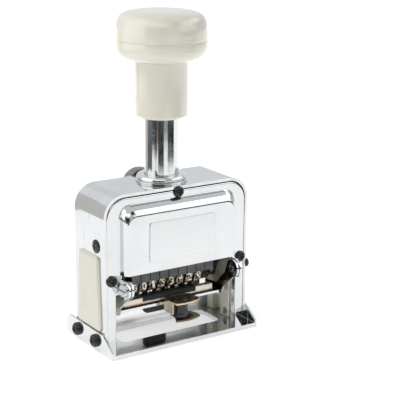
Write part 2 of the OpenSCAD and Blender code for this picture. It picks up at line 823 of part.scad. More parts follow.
module detent_comb() color("dimgray") in_xz(comb_back_y - comb_t, comb_t) {
    finger_gap = 0.35;
    root_z = carriage_head_z - 4;
    translate([comb_left, root_z]) square([comb_fingers * wheel_pitch, 4 + carriage_head_t]);
    for (i = [0:comb_fingers - 1])
        translate([comb_left + i * wheel_pitch + finger_gap / 2, comb_bottom])
            square([wheel_pitch - finger_gap, root_z - comb_bottom + eps]);
}

// A ratchet of ten teeth in the YZ plane about the axle
module ratchet_outline(tip, root) polygon([for (i = [0:9], j = [0:1])
    let (a = 36 * i + 30 * j, r = j == 0 ? root : tip)
    [r * cos(a), r * sin(a)]]);

module number_wheel(i) color("darkgoldenrod") {
    x0 = row_left + (i - 1) * wheel_pitch;
    translate([0, axle_y, axle_z]) difference() {
        union() {
            in_yz(x0 + wheel_gap, wheel_pitch - ratchet_t - 2 * wheel_gap)
                polygon([for (k = [0:9]) [wheel_r * cos(36 * k), wheel_r * sin(36 * k)]]);
            in_yz(x0 + wheel_pitch - ratchet_t - wheel_gap, ratchet_t)
                ratchet_outline(wheel_r - 1.2, wheel_r - 2.4);
        }
        rod_x(-frame_w, frame_w, axle_r + run_fit, 0, 0);
    }
}

module number_wheel_1() number_wheel(1);

module number_wheel_2() number_wheel(2);

module number_wheel_3() number_wheel(3);

module number_wheel_4() number_wheel(4);

module number_wheel_5() number_wheel(5);

module number_wheel_6() number_wheel(6);

module number_wheel_7() number_wheel(7);

module number_wheel_8() number_wheel(8);

module pawl_arm(x0) color("slategray") difference() {
    hub_r = axle_r + 1.6;
    union() {
        rod_x(x0, x0 + pawl_arm_t, hub_r, axle_y, axle_z);
        rod_x(x0, x0 + pawl_arm_t, pawl_eye_r, bar_y, bar_z);
        translate([x0, axle_y, axle_z]) rotate([pawl_angle - 90, 0, 0])
            translate([0, -pawl_eye_r, 0]) cube([pawl_arm_t, 2 * pawl_eye_r, pawl_reach]);
    }
    rod_x(x0 - 1, x0 + pawl_arm_t + 1, axle_r + run_fit, axle_y, axle_z);
    rod_x(x0 - 1, x0 + pawl_arm_t + 1, pawl_bar_r + run_fit, bar_y, bar_z);
}

module pawl_arm_left() pawl_arm(pawl_left);

module pawl_arm_right() pawl_arm(pawl_right);

module pawl_bar() color("silver") rod_x(pawl_left, pawl_right + pawl_arm_t, pawl_bar_r, bar_y, bar_z);

module pawls() color("dimgray") for (i = [1:wheel_count]) {
    pawl_t = 0.44;
    x0 = row_left + i * wheel_pitch - wheel_gap - (ratchet_t + pawl_t) / 2;
    tip_r = wheel_r - 0.8;
    difference() {
        in_yz(x0, pawl_t) polygon([
            [bar_y + 1.9, bar_z + 0.6],
            [bar_y + 1.2, bar_z - 1.6],
            [axle_y + tip_r * cos(pawl_angle - 10) + 0.5, axle_z + tip_r * sin(pawl_angle - 10)],
            [axle_y + tip_r * cos(pawl_angle - 10) - 0.6, axle_z + tip_r * sin(pawl_angle - 10)],
            [bar_y - 1.9, bar_z - 0.6],
            [bar_y - 1.6, bar_z + 0.9]
        ]);
        rod_x(x0 - 1, x0 + 2, pawl_bar_r + run_fit, bar_y, bar_z);
    }
}

module drive_ratchet() color("gray") {
    x0 = pawl_right + pawl_arm_t;
    translate([0, axle_y, axle_z]) difference() {
        union() {
            in_yz(x0, drive_t) ratchet_outline(drive_r, drive_root);
            rod_x(x0, x0 + drum_w, drum_r, 0, 0);
            in_yz(x0 + drum_w - small_t, small_t) ratchet_outline(small_r, small_root);
        }
        rod_x(-frame_w, frame_w, axle_r + run_fit, 0, 0);
    }
}

// ---- inker ---------------------------------------------------------------

module inker_arm(side) color("silver") difference() {
    x0 = side > 0 ? arm_x : -arm_x - arm_t;
    in_yz(x0, arm_t) {
        translate([pivot_y, pivot_z]) circle(ear_r - 0.2);
        polygon([
            [pivot_y - ear_r + 0.4, pivot_z - 1],
            [pivot_y + 2, pivot_z - 6.4],
            [tray_front - 2, pad_bottom + 2.6],
            [tray_front - 0.6, inker_bottom],
            [inker_rear, inker_bottom],
            [inker_rear, pad_bottom + 2.4],
            [pad_front + 2, pad_bottom + 3.4],
            [pivot_y + 5.5, pivot_z - 3],
            [pivot_y + 3.4, pivot_z + 2]
        ]);
    }
    rod_x(x0 - 1, x0 + arm_t + 1, pivot_r + run_fit, pivot_y, pivot_z);
}

module inker_arm_left() inker_arm(-1);

module inker_arm_right() inker_arm(1);

module inker_crossbar() color("silver") {
    bar_t = 0.6;
    translate([-arm_x, inker_rear - bar_t, inker_bottom]) cube([2 * arm_x, bar_t, 4]);
    for (s = [-1, 1]) translate([s > 0 ? arm_x - 1.4 : -arm_x, tray_front, inker_bottom])
        cube([1.4, inker_rear - tray_front, rail_t]);
}

module ink_tray() color("silver") {
    half_w = arm_x - 0.3;
    rear = inker_rear - 0.6 - tray_gap;
    translate([-half_w, tray_front, tray_bottom]) cube([2 * half_w, rear - tray_front, tray_t]);
    translate([-half_w, tray_front, tray_bottom]) cube([2 * half_w, 0.5, tray_t + 0.7]);
}

module ink_pad() color("antiquewhite")
    translate([-pad_w / 2, pad_front, pad_bottom]) cube([pad_w, pad_d - 0.3, pad_h]);

// Outline of a leaf: a curved front edge, and sides that draw in to rear_left and rear_right
module tab_leaf(rear_left, rear_right, rear_y) {
    a0 = 270 + asin((tab_left - tab_nose_x) / tab_nose_r);
    a1 = 270 + asin((tab_right - tab_nose_x) / tab_nose_r);
    polygon(concat(
        [[rear_left, rear_y]],
        arc(tab_nose_x, tab_front + tab_nose_r, tab_nose_r, a0, a1, 12),
        [[tab_right + 0.1, tab_front + 0.42 * tab_reach], [rear_right, rear_y]]
    ));
}

module finger_tab() color("darkgoldenrod") {
    wall_top = tab_z + tab_t;
    translate([0, 0, tab_z]) linear_extrude(tab_t) tab_leaf(tab_left + 0.6, tab_right - 0.9, tray_front);
    translate([0, 0, tab_z - tab_drop]) linear_extrude(tab_t)
        tab_leaf(tab_left + 4.1, tab_right - 1.1, tray_front - 1.3);
    translate([catch_x - tab_web_w / 2, tray_front - 1.3, tab_z - tab_drop])
        cube([tab_web_w, 0.6, tab_drop + eps]);
    translate([tab_left + 0.6, tray_front - 0.7, tray_bottom])
        cube([tab_w - 1.5, 0.7, tab_z - tray_bottom + eps]);
    difference() {
        translate([tab_wall_x, tray_front - tab_wall_d, wall_top - tab_wall_h])
            cube([tab_wall_t, tab_wall_d, tab_wall_h]);
        translate([tab_wall_x - 1, tray_front - tab_slot_set - tab_slot_w, wall_top - tab_wall_h - 1])
            cube([tab_wall_t + 2, tab_slot_w, tab_wall_h]);
    }
    translate([tab_wall_x, tray_front - tab_wall_d, tab_z]) cube([1.8, tab_wall_d, tab_t]);
}

module tray_catch() color("black") {
    foot_z = tab_z - tab_drop + tab_t;
    post_h = tab_drop - tab_t;
    groove_z = foot_z + (post_h - catch_groove_h) * 0.55;
    difference() {
        translate([catch_x, catch_y, foot_z]) cylinder(h = post_h, r = catch_r);
        translate([catch_x, catch_y, groove_z]) difference() {
            cylinder(h = catch_groove_h, r = catch_r + 1);
            translate([0, 0, -1]) cylinder(h = catch_groove_h + 2, r = catch_r - catch_groove_d);
        }
    }
    in_xz(catch_y - catch_foot_d / 2, catch_foot_d) polygon([
        [catch_x + catch_r - 1, foot_z],
        [catch_x + catch_r + catch_foot_w, foot_z],
        [catch_x + catch_r + catch_foot_w, foot_z + catch_foot_t],
        [catch_x + catch_r - 1, foot_z + catch_foot_h]
    ]);
}

// ---- selector dial -------------------------------------------------------

module selector_dial() color("dimgray") difference() {
    ribs = 30;
    union() {
        rod_y(dial_front, dial_front + dial_t, dial_r - 0.4, dial_x, dial_z);
        in_xz(dial_front + 0.5, dial_t - 1) translate([dial_x, dial_z])
            polygon([for (i = [0:2 * ribs - 1])
                let (a = 180 * i / ribs, r = i % 2 == 0 ? dial_r : dial_r - 0.7)
                [r * cos(a), r * sin(a)]]);
    }
    rod_y(dial_front - 1, dial_front + dial_t + 1, dial_shaft_r + run_fit, dial_x, dial_z);
    rod_y(dial_front + dial_t - 0.8, dial_front + dial_t + 1, dial_r - 2.6, dial_x, dial_z);
}

module dial_shaft() color("silver")
    rod_y(cam_y - 0.1, dial_front + dial_t - 0.2, dial_shaft_r, dial_x, dial_z);

module dial_cam() color("gray") difference() {
    y0 = cam_y;
    union() {
        rod_y(y0, y0 + cam_t, cam_r, dial_x, dial_z);
        rod_y(y0, y0 + cam_t, cam_lobe_r, dial_x, dial_z - cam_lobe);
    }
    rod_y(y0 - 1, y0 + cam_t + 1, dial_shaft_r + run_fit, dial_x, dial_z);
}

// ---- output --------------------------------------------------------------

base();
outer_shell();
front_cover();
rear_cover();
label_plate();
side_panel_left();
side_panel_right();
collar();
spring_bridge();
front_screws();
rear_screws();
side_screws();
base_screws();
edge_screw();
rear_buffer();
inker_pivot_pins();
plunger_tube();
tube_foot();
tube_cap();
return_spring();
handle_sleeve();
knob_ring();
knob_cap();
knob_screw();
carriage_head();
carriage_side_left();
carriage_side_right();
wheel_axle();
axle_clips();
wheel_spacer();
detent_comb();
number_wheel_1();
number_wheel_2();
number_wheel_3();
number_wheel_4();
number_wheel_5();
number_wheel_6();
number_wheel_7();
number_wheel_8();
pawl_arm_left();
pawl_arm_right();
pawl_bar();
pawls();
drive_ratchet();
inker_arm_left();
inker_arm_right();
inker_crossbar();
ink_tray();
ink_pad();
finger_tab();
tray_catch();
selector_dial();
dial_shaft();
dial_cam();
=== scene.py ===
import math
import random

import bmesh
import bpy
from mathutils import Matrix, Vector


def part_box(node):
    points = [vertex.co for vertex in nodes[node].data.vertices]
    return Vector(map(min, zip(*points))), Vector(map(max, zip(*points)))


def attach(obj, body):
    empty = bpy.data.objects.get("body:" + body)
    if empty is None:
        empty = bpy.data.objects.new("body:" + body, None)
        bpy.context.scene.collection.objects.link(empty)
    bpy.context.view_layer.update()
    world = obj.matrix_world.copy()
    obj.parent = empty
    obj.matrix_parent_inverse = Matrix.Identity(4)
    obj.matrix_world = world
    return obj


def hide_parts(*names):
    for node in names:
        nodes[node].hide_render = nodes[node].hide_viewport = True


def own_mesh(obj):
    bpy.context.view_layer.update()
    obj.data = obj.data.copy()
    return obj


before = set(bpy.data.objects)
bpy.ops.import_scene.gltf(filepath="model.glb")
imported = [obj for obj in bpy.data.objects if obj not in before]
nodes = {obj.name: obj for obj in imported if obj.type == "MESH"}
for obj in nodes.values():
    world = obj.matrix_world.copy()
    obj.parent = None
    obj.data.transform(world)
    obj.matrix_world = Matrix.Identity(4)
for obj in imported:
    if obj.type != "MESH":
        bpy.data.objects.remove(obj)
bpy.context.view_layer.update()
MM = 0.001
scene = bpy.context.scene


# ---- places taken from the CAD -------------------------------------------

def span(node):
    """Lowest and highest corner of a CAD node, in millimetres."""
    low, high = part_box(node)
    return low * 1000, high * 1000


TUBE_LOW, TUBE_HIGH = span("plunger_tube")
TUBE_Y = (TUBE_LOW.y + TUBE_HIGH.y) / 2
TUBE_R = (TUBE_HIGH.x - TUBE_LOW.x) / 2
AXLE_LOW, AXLE_HIGH = span("wheel_axle")
AXLE_Y = (AXLE_LOW.y + AXLE_HIGH.y) / 2
AXLE_Z = (AXLE_LOW.z + AXLE_HIGH.z) / 2
WHEEL_R = 10.0
TYPE_H = 0.5
SIDES = 10


# ---- materials -----------------------------------------------------------

class Shade:
    """A node material with helpers for its common parts."""

    def __init__(self, name, color, rough, metal=0.0):
        self.mat = bpy.data.materials.new(name)
        self.mat.use_nodes = True
        self.tree = self.mat.node_tree
        self.links = self.tree.links
        self.bsdf = self.tree.nodes["Principled BSDF"]
        self.bsdf.inputs["Base Color"].default_value = (*color, 1)
        self.bsdf.inputs["Roughness"].default_value = rough
        self.bsdf.inputs["Metallic"].default_value = metal
        self.height = None
        self.coord = self.tree.nodes.new("ShaderNodeTexCoord").outputs["Object"]

    def add(self, kind, **values):
        node = self.tree.nodes.new(kind)
        for key, value in values.items():
            setattr(node, key, value)
        return node

    def wire(self, out, socket):
        self.links.new(out, socket)

    def along(self, axis):
        """The object coordinate along X, Y or Z, in metres."""
        parts = self.add("ShaderNodeSeparateXYZ")
        self.wire(self.coord, parts.inputs["Vector"])
        return parts.outputs[axis]

    def noise(self, size_mm, detail=3.0, stretch=(1, 1, 1), rough=0.55):
        """Noise whose features are about size_mm across."""
        mapping = self.add("ShaderNodeMapping")
        self.wire(self.coord, mapping.inputs["Vector"])
        mapping.inputs["Scale"].default_value = stretch
        tex = self.add("ShaderNodeTexNoise")
        tex.inputs["Scale"].default_value = 1 / (size_mm * MM)
        tex.inputs["Detail"].default_value = detail
        tex.inputs["Roughness"].default_value = rough
        self.wire(mapping.outputs["Vector"], tex.inputs["Vector"])
        return tex.outputs["Fac"]

    def below(self, axis, limit_mm):
        """1 where the coordinate is under a limit."""
        return self.math("LESS_THAN", self.along(axis), limit_mm * MM)

    def math(self, operation, a, b=0.0):
        """One arithmetic node; a and b are numbers or sockets."""
        node = self.add("ShaderNodeMath", operation=operation)
        for value, socket in ((a, node.inputs[0]), (b, node.inputs[1])):
            if isinstance(value, (int, float)):
                socket.default_value = value
            else:
                self.wire(value, socket)
        return node.outputs[0]

    def inside_arch(self, half_mm, spring_mm, radius_mm):
        """1 inside an arch whose corners turn about (half, spring) with the given radius."""
        side = self.math("SUBTRACT", self.math("ABSOLUTE", self.along("X")), half_mm * MM)
        rise = self.math("SUBTRACT", self.along("Z"), spring_mm * MM)
        side = self.math("MAXIMUM", side)
        rise = self.math("MAXIMUM", rise)
        square = self.math("ADD", self.math("MULTIPLY", side, side), self.math("MULTIPLY", rise, rise))
        return self.math("LESS_THAN", self.math("SQRT", square), radius_mm * MM)

    def rising(self, low_mm, high_mm):
        """From 0 at one height to 1 at another."""
        node = self.add("ShaderNodeMapRange")
        self.wire(self.along("Z"), node.inputs["Value"])
        node.inputs["From Min"].default_value = low_mm * MM
        node.inputs["From Max"].default_value = high_mm * MM
        return node.outputs["Result"]

    def ramp(self, fac, *stops):
        """A colour ramp; stops are (position, value or colour)."""
        node = self.add("ShaderNodeValToRGB")
        self.wire(fac, node.inputs["Fac"])
        points = node.color_ramp.elements
        while len(points) < len(stops):
            points.new(0.5)
        for point, (position, value) in zip(points, stops):
            point.position = position
            point.color = (value, value, value, 1) if isinstance(value, (int, float)) else (*value, 1)
        return node.outputs["Color"]

    def mix(self, fac, a, b, blend="MIX"):
        """A colour mix; each of fac, a and b is a number, a colour or a socket."""
        node = self.add("ShaderNodeMix", data_type="RGBA", blend_type=blend)
        for value, index in ((fac, 0), (a, 6), (b, 7)):
            if isinstance(value, (int, float)):
                node.inputs[index].default_value = value
            elif isinstance(value, tuple):
                node.inputs[index].default_value = (*value, 1)
            else:
                self.wire(value, node.inputs[index])
        return node.outputs[2]

    def paint(self, out):
        self.wire(out, self.bsdf.inputs["Base Color"])

    def rough(self, out):
        self.wire(out, self.bsdf.inputs["Roughness"])

    def bump(self, out, depth_mm, strength=1.0):
        """Adds a bump over those set before."""
        node = self.add("ShaderNodeBump")
        node.inputs["Strength"].default_value = strength
        node.inputs["Distance"].default_value = depth_mm * MM
        self.wire(out, node.inputs["Height"])
        if self.height is not None:
            self.wire(self.height, node.inputs["Normal"])
        self.height = node.outputs["Normal"]
        self.wire(self.height, self.bsdf.inputs["Normal"])


# Chrome's colour, its colour under haze and along wiping marks, and the near-black painted shade of the
# groove inside the arch
POLISH, POLISH_TINT = (0.695, 0.71, 0.715), (0.64, 0.655, 0.66)
POLISH_MARK, GROOVE_SHADE = (0.4, 0.4, 0.39), (0.035, 0.035, 0.038)
# Heights in mm between which the inside of the arch turns from polished chrome to painted groove shade
GROOVE_SHADE_FROM, GROOVE_SHADE_FULL = 50, 61


def chrome(name, low=0.03, high=0.13, wave=0.01, grain=(1, 0.06, 1), streak=0.0, inside=None):
    """Bright chrome plate: faint waves, handling haze and fine wiping marks.

    streak darkens along the marks. inside is the inner arch as (half width, height, corner radius) in
    mm; near the top its face is painted near black as shade in the groove.
    """
    s = Shade(name, POLISH, low, 1.0)
    haze = s.noise(16, 4.0)
    marks = s.noise(0.7, 2.0, grain)
    tone = s.mix(s.ramp(haze, (0.35, 0.0), (0.75, 1.0)), POLISH, POLISH_TINT)
    tone = s.mix(s.ramp(marks, (0.5, 0.0), (0.75, streak)), tone, POLISH_MARK)
    if inside:
        half, top, radius = inside
        skin = 0.03
        # Painted shade: the arch's inner face turns near black towards the top, where it shows in the groove
        within = s.inside_arch(half - radius, top - radius, radius + skin)
        upper = s.rising(GROOVE_SHADE_FROM, GROOVE_SHADE_FULL)
        tone = s.mix(s.math("MULTIPLY", within, upper), tone, GROOVE_SHADE)
    s.paint(tone)
    s.rough(s.ramp(s.mix(0.4, haze, marks), (0.35, low), (0.8, high)))
    s.bump(s.noise(9, 1.0), wave)
    s.bump(marks, 0.0006, 0.5)
    return s.mat


def tube_chrome():
    """Drawn tube: bright chrome with lengthwise ripples and specks that fray what it reflects."""
    s = Shade("tube_chrome", POLISH, 0.05, 1.0)
    specks = s.noise(0.5, 4.0, (1, 1, 0.5), 0.7)
    haze = s.noise(8, 4.0)
    s.paint(s.mix(s.ramp(specks, (0.6, 0.0), (0.75, 0.35)), POLISH, (0.85, 0.86, 0.88)))
    s.rough(s.ramp(s.mix(0.5, haze, specks), (0.35, 0.04), (0.75, 0.2)))
    s.bump(s.noise(1.4, 3.0, (1, 1, 0.22)), 0.004, 0.7)
    s.bump(specks, 0.0015, 0.5)
    return s.mat


def rear_chrome(inside_mm):
    """Chrome outside; the inside, in front of inside_mm, is a brighter satin."""
    s = Shade("rear_chrome", POLISH, 0.06, 1.0)
    haze = s.noise(16, 4.0)
    marks = s.noise(0.7, 2.0, (1, 0.06, 1))
    within = s.below("Y", inside_mm)
    tone = s.mix(s.ramp(haze, (0.35, 0.0), (0.75, 1.0)), POLISH, POLISH_TINT)
    s.paint(s.mix(within, tone, (0.86, 0.86, 0.85)))
    gloss = s.ramp(s.mix(0.4, haze, marks), (0.35, 0.03), (0.8, 0.13))
    s.rough(s.mix(within, gloss, (0.2, 0.2, 0.2)))
    s.wire(s.mix(within, (1, 1, 1), (0.3, 0.3, 0.3)), s.bsdf.inputs["Metallic"])
    s.bump(marks, 0.0006, 0.5)
    return s.mat


def oily_chrome(inner_mm):
    """Chrome with painted shade, a dark uneven film, on the face that lies under inner_mm along X."""
    s = Shade("inker_painted_shade", POLISH, 0.08, 1.0)
    haze = s.noise(4, 4.0)
    # Painted shade: dark uneven tones on the arm's inner face
    film = s.mix(s.ramp(haze, (0.4, 0.0), (0.7, 1.0)), (0.05, 0.045, 0.04), (0.2, 0.18, 0.16))
    tone = s.mix(s.ramp(haze, (0.35, 0.0), (0.75, 1.0)), POLISH, POLISH_TINT)
    s.paint(s.mix(s.below("X", inner_mm), tone, film))
    s.rough(s.ramp(haze, (0.35, 0.06), (0.75, 0.2)))
    s.bump(s.noise(0.7, 2.0, (1, 0.06, 1)), 0.0006, 0.5)
    return s.mat


def steel(name, color, dark, rough=0.3, grain=(1, 0.08, 1), oil=0.0):
    """Worked steel with a grain, tone changes and oily darker patches."""
    s = Shade(name, color, rough, 1.0)
    tone = s.noise(5, 5.0)
    lines = s.noise(0.5, 3.0, grain)
    s.paint(s.mix(s.ramp(s.mix(0.35, tone, lines), (0.3 + oil * 0.2, 0.0), (0.7, 1.0)), dark, color))
    s.rough(s.ramp(lines, (0.3, rough * 0.7), (0.75, rough * 1.5)))
    s.bump(lines, 0.004, 0.6)
    s.bump(s.noise(2.5, 3.0), 0.01, 0.5)
    return s.mat


def plastic(name, color, shade, rough=0.22, peel=0.002, coat=0.9):
    """Moulded plastic: faint flow tones, an even sheen and a fine skin."""
    s = Shade(name, color, rough)
    s.bsdf.inputs["Coat Weight"].default_value = coat
    s.bsdf.inputs["Coat Roughness"].default_value = 0.07
    s.bsdf.inputs["Subsurface Weight"].default_value = 0.08
    s.bsdf.inputs["Subsurface Radius"].default_value = (0.004, 0.003, 0.002)
    flow = s.noise(22, 3.0)
    specks = s.noise(0.6, 2.0)
    tone = s.mix(s.ramp(flow, (0.35, 0.0), (0.7, 1.0)), shade, color)
    s.paint(s.mix(s.ramp(specks, (0.68, 0.0), (0.8, 0.12)), tone, shade))
    s.rough(s.ramp(s.mix(0.5, flow, specks), (0.3, rough * 0.8), (0.75, rough * 1.3)))
    s.bump(s.noise(1.1, 2.0), peel, 0.5)
    return s.mat


def blackened(name, color=(0.012, 0.012, 0.014), rough=0.28, metal=0.0, worn=(0.2, 0.2, 0.21)):
    """Black finish with small worn spots and a slightly uneven gloss."""
    s = Shade(name, color, rough, metal)
    wear = s.noise(0.9, 5.0)
    s.paint(s.mix(s.ramp(wear, (0.64, 0.0), (0.72, 0.5)), color, worn))
    s.rough(s.ramp(s.noise(1.6, 3.0), (0.35, rough * 0.7), (0.7, rough * 1.7)))
    s.bump(wear, 0.01, 0.4)
    return s.mat


def inked_metal():
    """Number wheels: brassy metal, with ink in blots and rubbed off the raised type."""
    s = Shade("type_metal", (0.5, 0.45, 0.33), 0.3, 1.0)
    blot = s.noise(1.3, 5.0)
    film = s.noise(5.0, 3.0)
    metal = s.mix(s.ramp(film, (0.35, 0.0), (0.65, 1.0)), (0.42, 0.34, 0.2), (0.66, 0.63, 0.57))
    s.paint(s.mix(s.ramp(blot, (0.43, 0.0), (0.64, 0.8)), (0.02, 0.019, 0.02), metal))
    s.rough(s.ramp(blot, (0.3, 0.5), (0.7, 0.22)))
    s.bump(blot, 0.02, 0.5)
    return s.mat


def type_faces():
    """Raised type: brighter metal, polished on the face."""
    s = Shade("raised_type", (0.78, 0.76, 0.7), 0.2, 1.0)
    film = s.noise(1.1, 4.0)
    s.paint(s.mix(s.ramp(film, (0.36, 0.0), (0.52, 1.0)), (0.12, 0.11, 0.1), (0.8, 0.78, 0.72)))
    s.rough(s.ramp(film, (0.3, 0.4), (0.7, 0.16)))
    s.bump(film, 0.008, 0.5)
    return s.mat


def felt(low_mm, top_mm, dark_left, dark_right):
    """Cream felt with a nap; its top and a stretch of its front are near black, and at low_mm a rim of
    painted shadow lies under a brown band.
    """
    s = Shade("felt", (0.5, 0.45, 0.39), 0.95)
    s.bsdf.inputs["Sheen Weight"].default_value = 0.3
    s.bsdf.inputs["Sheen Roughness"].default_value = 0.5
    fibre = s.noise(0.22, 4.0, (0.35, 1, 1), 0.7)
    clump = s.noise(1.6, 4.0)
    cream = s.mix(s.ramp(fibre, (0.3, 0.0), (0.7, 1.0)), (0.66, 0.585, 0.49), (0.8, 0.735, 0.635))
    cream = s.mix(s.ramp(clump, (0.4, 0.0), (0.75, 0.25)), cream, (0.6, 0.51, 0.41))

    def past(axis, limit_mm, wobble_mm, blur_mm, sign=1):
        """1 where the coordinate lies beyond a wobbling limit, with a soft edge."""
        wobble = s.math("MULTIPLY", clump, wobble_mm * MM)
        limit = s.math("ADD", wobble, (limit_mm - wobble_mm / 2) * MM)
        gap = s.math("SUBTRACT", s.along(axis), limit)
        return s.ramp(s.math("MULTIPLY", gap, sign / (blur_mm * MM)), (0.0, 0.0), (1.0, 1.0))

    def both(a, b):
        return s.mix(1.0, a, b, "MULTIPLY")

    # Near black on a stretch of the front below the top edge, and over most of the top
    run = both(past("X", dark_left, 1.2, 0.4), past("X", dark_right, 1.0, 0.3, -1))
    run = both(run, past("Z", top_mm - 2.3, 0.7, 0.4))
    top = past("Z", top_mm - 0.25, 0.1, 0.1)
    ends = both(past("X", dark_left - 8, 2.0, 1.0), past("X", dark_right + 0.5, 1.0, 0.3, -1))
    darkened = s.mix(1.0, run, both(top, ends), "LIGHTEN")
    # Painted shadow: a near-black rim at the height of the tray lip, under a brown band that is darker
    # towards the bottom
    fringe = past("Z", low_mm + 1.3, 0.5, 0.8, -1)
    rim = past("Z", low_mm + 0.55, 0.25, 0.15, -1)
    edged = s.mix(rim, s.mix(fringe, cream, (0.25, 0.17, 0.1)), (0.012, 0.01, 0.01))
    s.paint(s.mix(darkened, edged, (0.014, 0.013, 0.014)))
    s.bump(fibre, 0.05, 0.7)
    s.bump(clump, 0.08, 0.5)
    return s.mat


def bronze(low_mm, high_mm):
    """Bronze sheet under an uneven brown film, with painted shade that makes it darker towards the lower
    leaf.
    """
    s = Shade("bronze", (0.6, 0.5, 0.37), 0.16, 1.0)
    film = s.noise(5, 3.0)
    bright = s.mix(s.ramp(film, (0.35, 0.0), (0.7, 1.0)), (0.5, 0.41, 0.3), (0.7, 0.61, 0.48))
    # Painted shade: dark brown at the foot, rising to bright bronze over the upper leaf
    s.paint(s.mix(s.rising(low_mm, high_mm), (0.17, 0.13, 0.09), bright))
    s.rough(s.ramp(film, (0.3, 0.34), (0.7, 0.24)))
    s.bump(s.noise(0.6, 3.0, (1, 0.15, 1)), 0.0015, 0.4)
    return s.mat


def bare_label():
    """Bare satin plate with a fine brushed grain."""
    s = Shade("bare_plate", (0.8, 0.81, 0.815), 0.22, 0.7)
    lines = s.noise(0.35, 3.0, (0.03, 1, 1))
    s.paint(s.mix(s.ramp(lines, (0.3, 0.0), (0.7, 1.0)), (0.68, 0.69, 0.695), (0.72, 0.73, 0.735)))
    s.rough(s.ramp(lines, (0.3, 0.2), (0.7, 0.26)))
    s.bump(lines, 0.001, 0.4)
    return s.mat


PAD_LOW, PAD_HIGH = span("ink_pad")
# Ends in mm of the near-black stretch on the felt's front
DARK_LEFT, DARK_RIGHT = -14.2, 14.3
LIP = span("ink_tray")[1].z
TAB_FOOT = span("finger_tab")[0].z
ARCH_INSIDE = (35.6, 69.0, 8.6)
MAT = {
    "shell": chrome("shell_chrome", grain=(0.09, 1, 0.09), streak=0.3, inside=ARCH_INSIDE),
    "cover": chrome("cover_chrome", wave=0.006),
    # Near black, for painted shade on the cover's edge faces in the groove
    "cover_edge": blackened("cover_edge_painted_shade", (0.02, 0.02, 0.02), 0.6),
    "base": chrome("base_chrome", wave=0.004, high=0.1),
    "rear": rear_chrome(span("rear_cover")[0].y + 0.05),
    "tube": tube_chrome(),
    "inker": chrome("inker_chrome", low=0.05, high=0.16, wave=0.003),
    "inker_right": oily_chrome(span("inker_arm_right")[0].x + 0.1),
    "knob": plastic("knob_cream", (0.73, 0.716, 0.615), (0.7, 0.685, 0.585)),
    "panel": plastic("panel_cream", (0.6, 0.595, 0.505), (0.57, 0.565, 0.475), 0.3, coat=0.3),
    "steel": steel("plain_steel", (0.6, 0.6, 0.61), (0.3, 0.3, 0.31)),
    "spring": steel("spring_steel", (0.4, 0.4, 0.42), (0.16, 0.16, 0.17), 0.35),
    "dark": steel("dark_steel", (0.16, 0.16, 0.17), (0.03, 0.03, 0.032), 0.3, (1, 0.1, 1), 0.8),
    "comb": steel("comb_steel", (0.12, 0.12, 0.125), (0.06, 0.057, 0.057), 0.26, (1, 0.1, 1), 0.2),
    "screw": blackened("screw_black", (0.007, 0.007, 0.008), 0.22, 0.0, (0.09, 0.09, 0.1)),
    "rubber": blackened("buffer_rubber", (0.015, 0.015, 0.016), 0.6, 0.0, (0.04, 0.04, 0.04)),
    "catch": blackened("catch_black", (0.008, 0.008, 0.009), 0.12, 0.0, (0.02, 0.02, 0.02)),
    "dial": steel("dial_grey", (0.42, 0.43, 0.44), (0.16, 0.165, 0.17), 0.28),
    "wheel": inked_metal(),
    "type": type_faces(),
    "felt": felt(LIP, PAD_HIGH.z, DARK_LEFT, DARK_RIGHT),
    "bronze": bronze(TAB_FOOT + 0.7, TAB_FOOT + 3.5),
    "label": bare_label(),
}

# The finish of each CAD node
FINISH = {
    "base": "base", "outer_shell": "shell", "front_cover": "cover", "rear_cover": "rear",
    "label_plate": "label", "side_panel_left": "panel", "side_panel_right": "panel",
    "collar": "tube", "spring_bridge": "steel", "front_screws": "screw", "rear_screws": "screw",
    "side_screws": "screw", "base_screws": "screw", "edge_screw": "screw", "rear_buffer": "rubber",
    "inker_pivot_pins": "inker", "plunger_tube": "tube", "tube_foot": "steel", "tube_cap": "steel",
    "return_spring": "spring", "handle_sleeve": "knob", "knob_ring": "knob", "knob_cap": "knob",
    "knob_screw": "steel", "carriage_head": "dark", "carriage_side_left": "dark",
    "carriage_side_right": "dark", "wheel_axle": "steel", "axle_clips": "steel", "wheel_spacer": "tube",
    "detent_comb": "comb", "pawl_arm_left": "dark", "pawl_arm_right": "dark", "pawl_bar": "steel",
    "pawls": "dark", "drive_ratchet": "wheel", "inker_arm_left": "inker", "inker_arm_right": "inker_right",
    "inker_crossbar": "inker", "ink_tray": "inker", "ink_pad": "felt", "finger_tab": "bronze",
    "tray_catch": "catch", "selector_dial": "dial", "dial_shaft": "steel", "dial_cam": "steel",
}
for number in range(1, 9):
    FINISH["number_wheel_%d" % number] = "wheel"

# Widths in mm of the rounded edges, where they are more than FINE_EDGE
FINE_EDGE = 0.1
EDGE = {
    "base": 0.25, "outer_shell": 0.3, "front_cover": 0.45, "rear_cover": 0.3, "label_plate": 0.12,
    "side_panel_left": 0.25, "side_panel_right": 0.25, "collar": 0.25,
}


def soften(obj, width_mm, segments=3):
    """Joins a piece's flat triangles and rounds its sharp edges, so that they catch light."""
    weld = obj.modifiers.new("join", "WELD")
    weld.merge_threshold = 0.002 * MM
    flat = obj.modifiers.new("flat", "DECIMATE")
    flat.decimate_type = "DISSOLVE"
    flat.angle_limit = math.radians(0.2)
    bevel = obj.modifiers.new("round", "BEVEL")
    bevel.width = width_mm * MM
    bevel.segments = segments
    bevel.limit_method = "ANGLE"
    bevel.angle_limit = math.radians(28)
    bevel.use_clamp_overlap = True
    bevel.harden_normals = True
    normal = obj.modifiers.new("even", "WEIGHTED_NORMAL")
    normal.keep_sharp = False


for name, obj in nodes.items():
    obj.data.materials.clear()
    obj.data.materials.append(MAT[FINISH[name]])
    if name != "return_spring":
        soften(obj, EDGE.get(name, FINE_EDGE), 3 if name in EDGE else 2)


# ---- mesh helpers --------------------------------------------------------

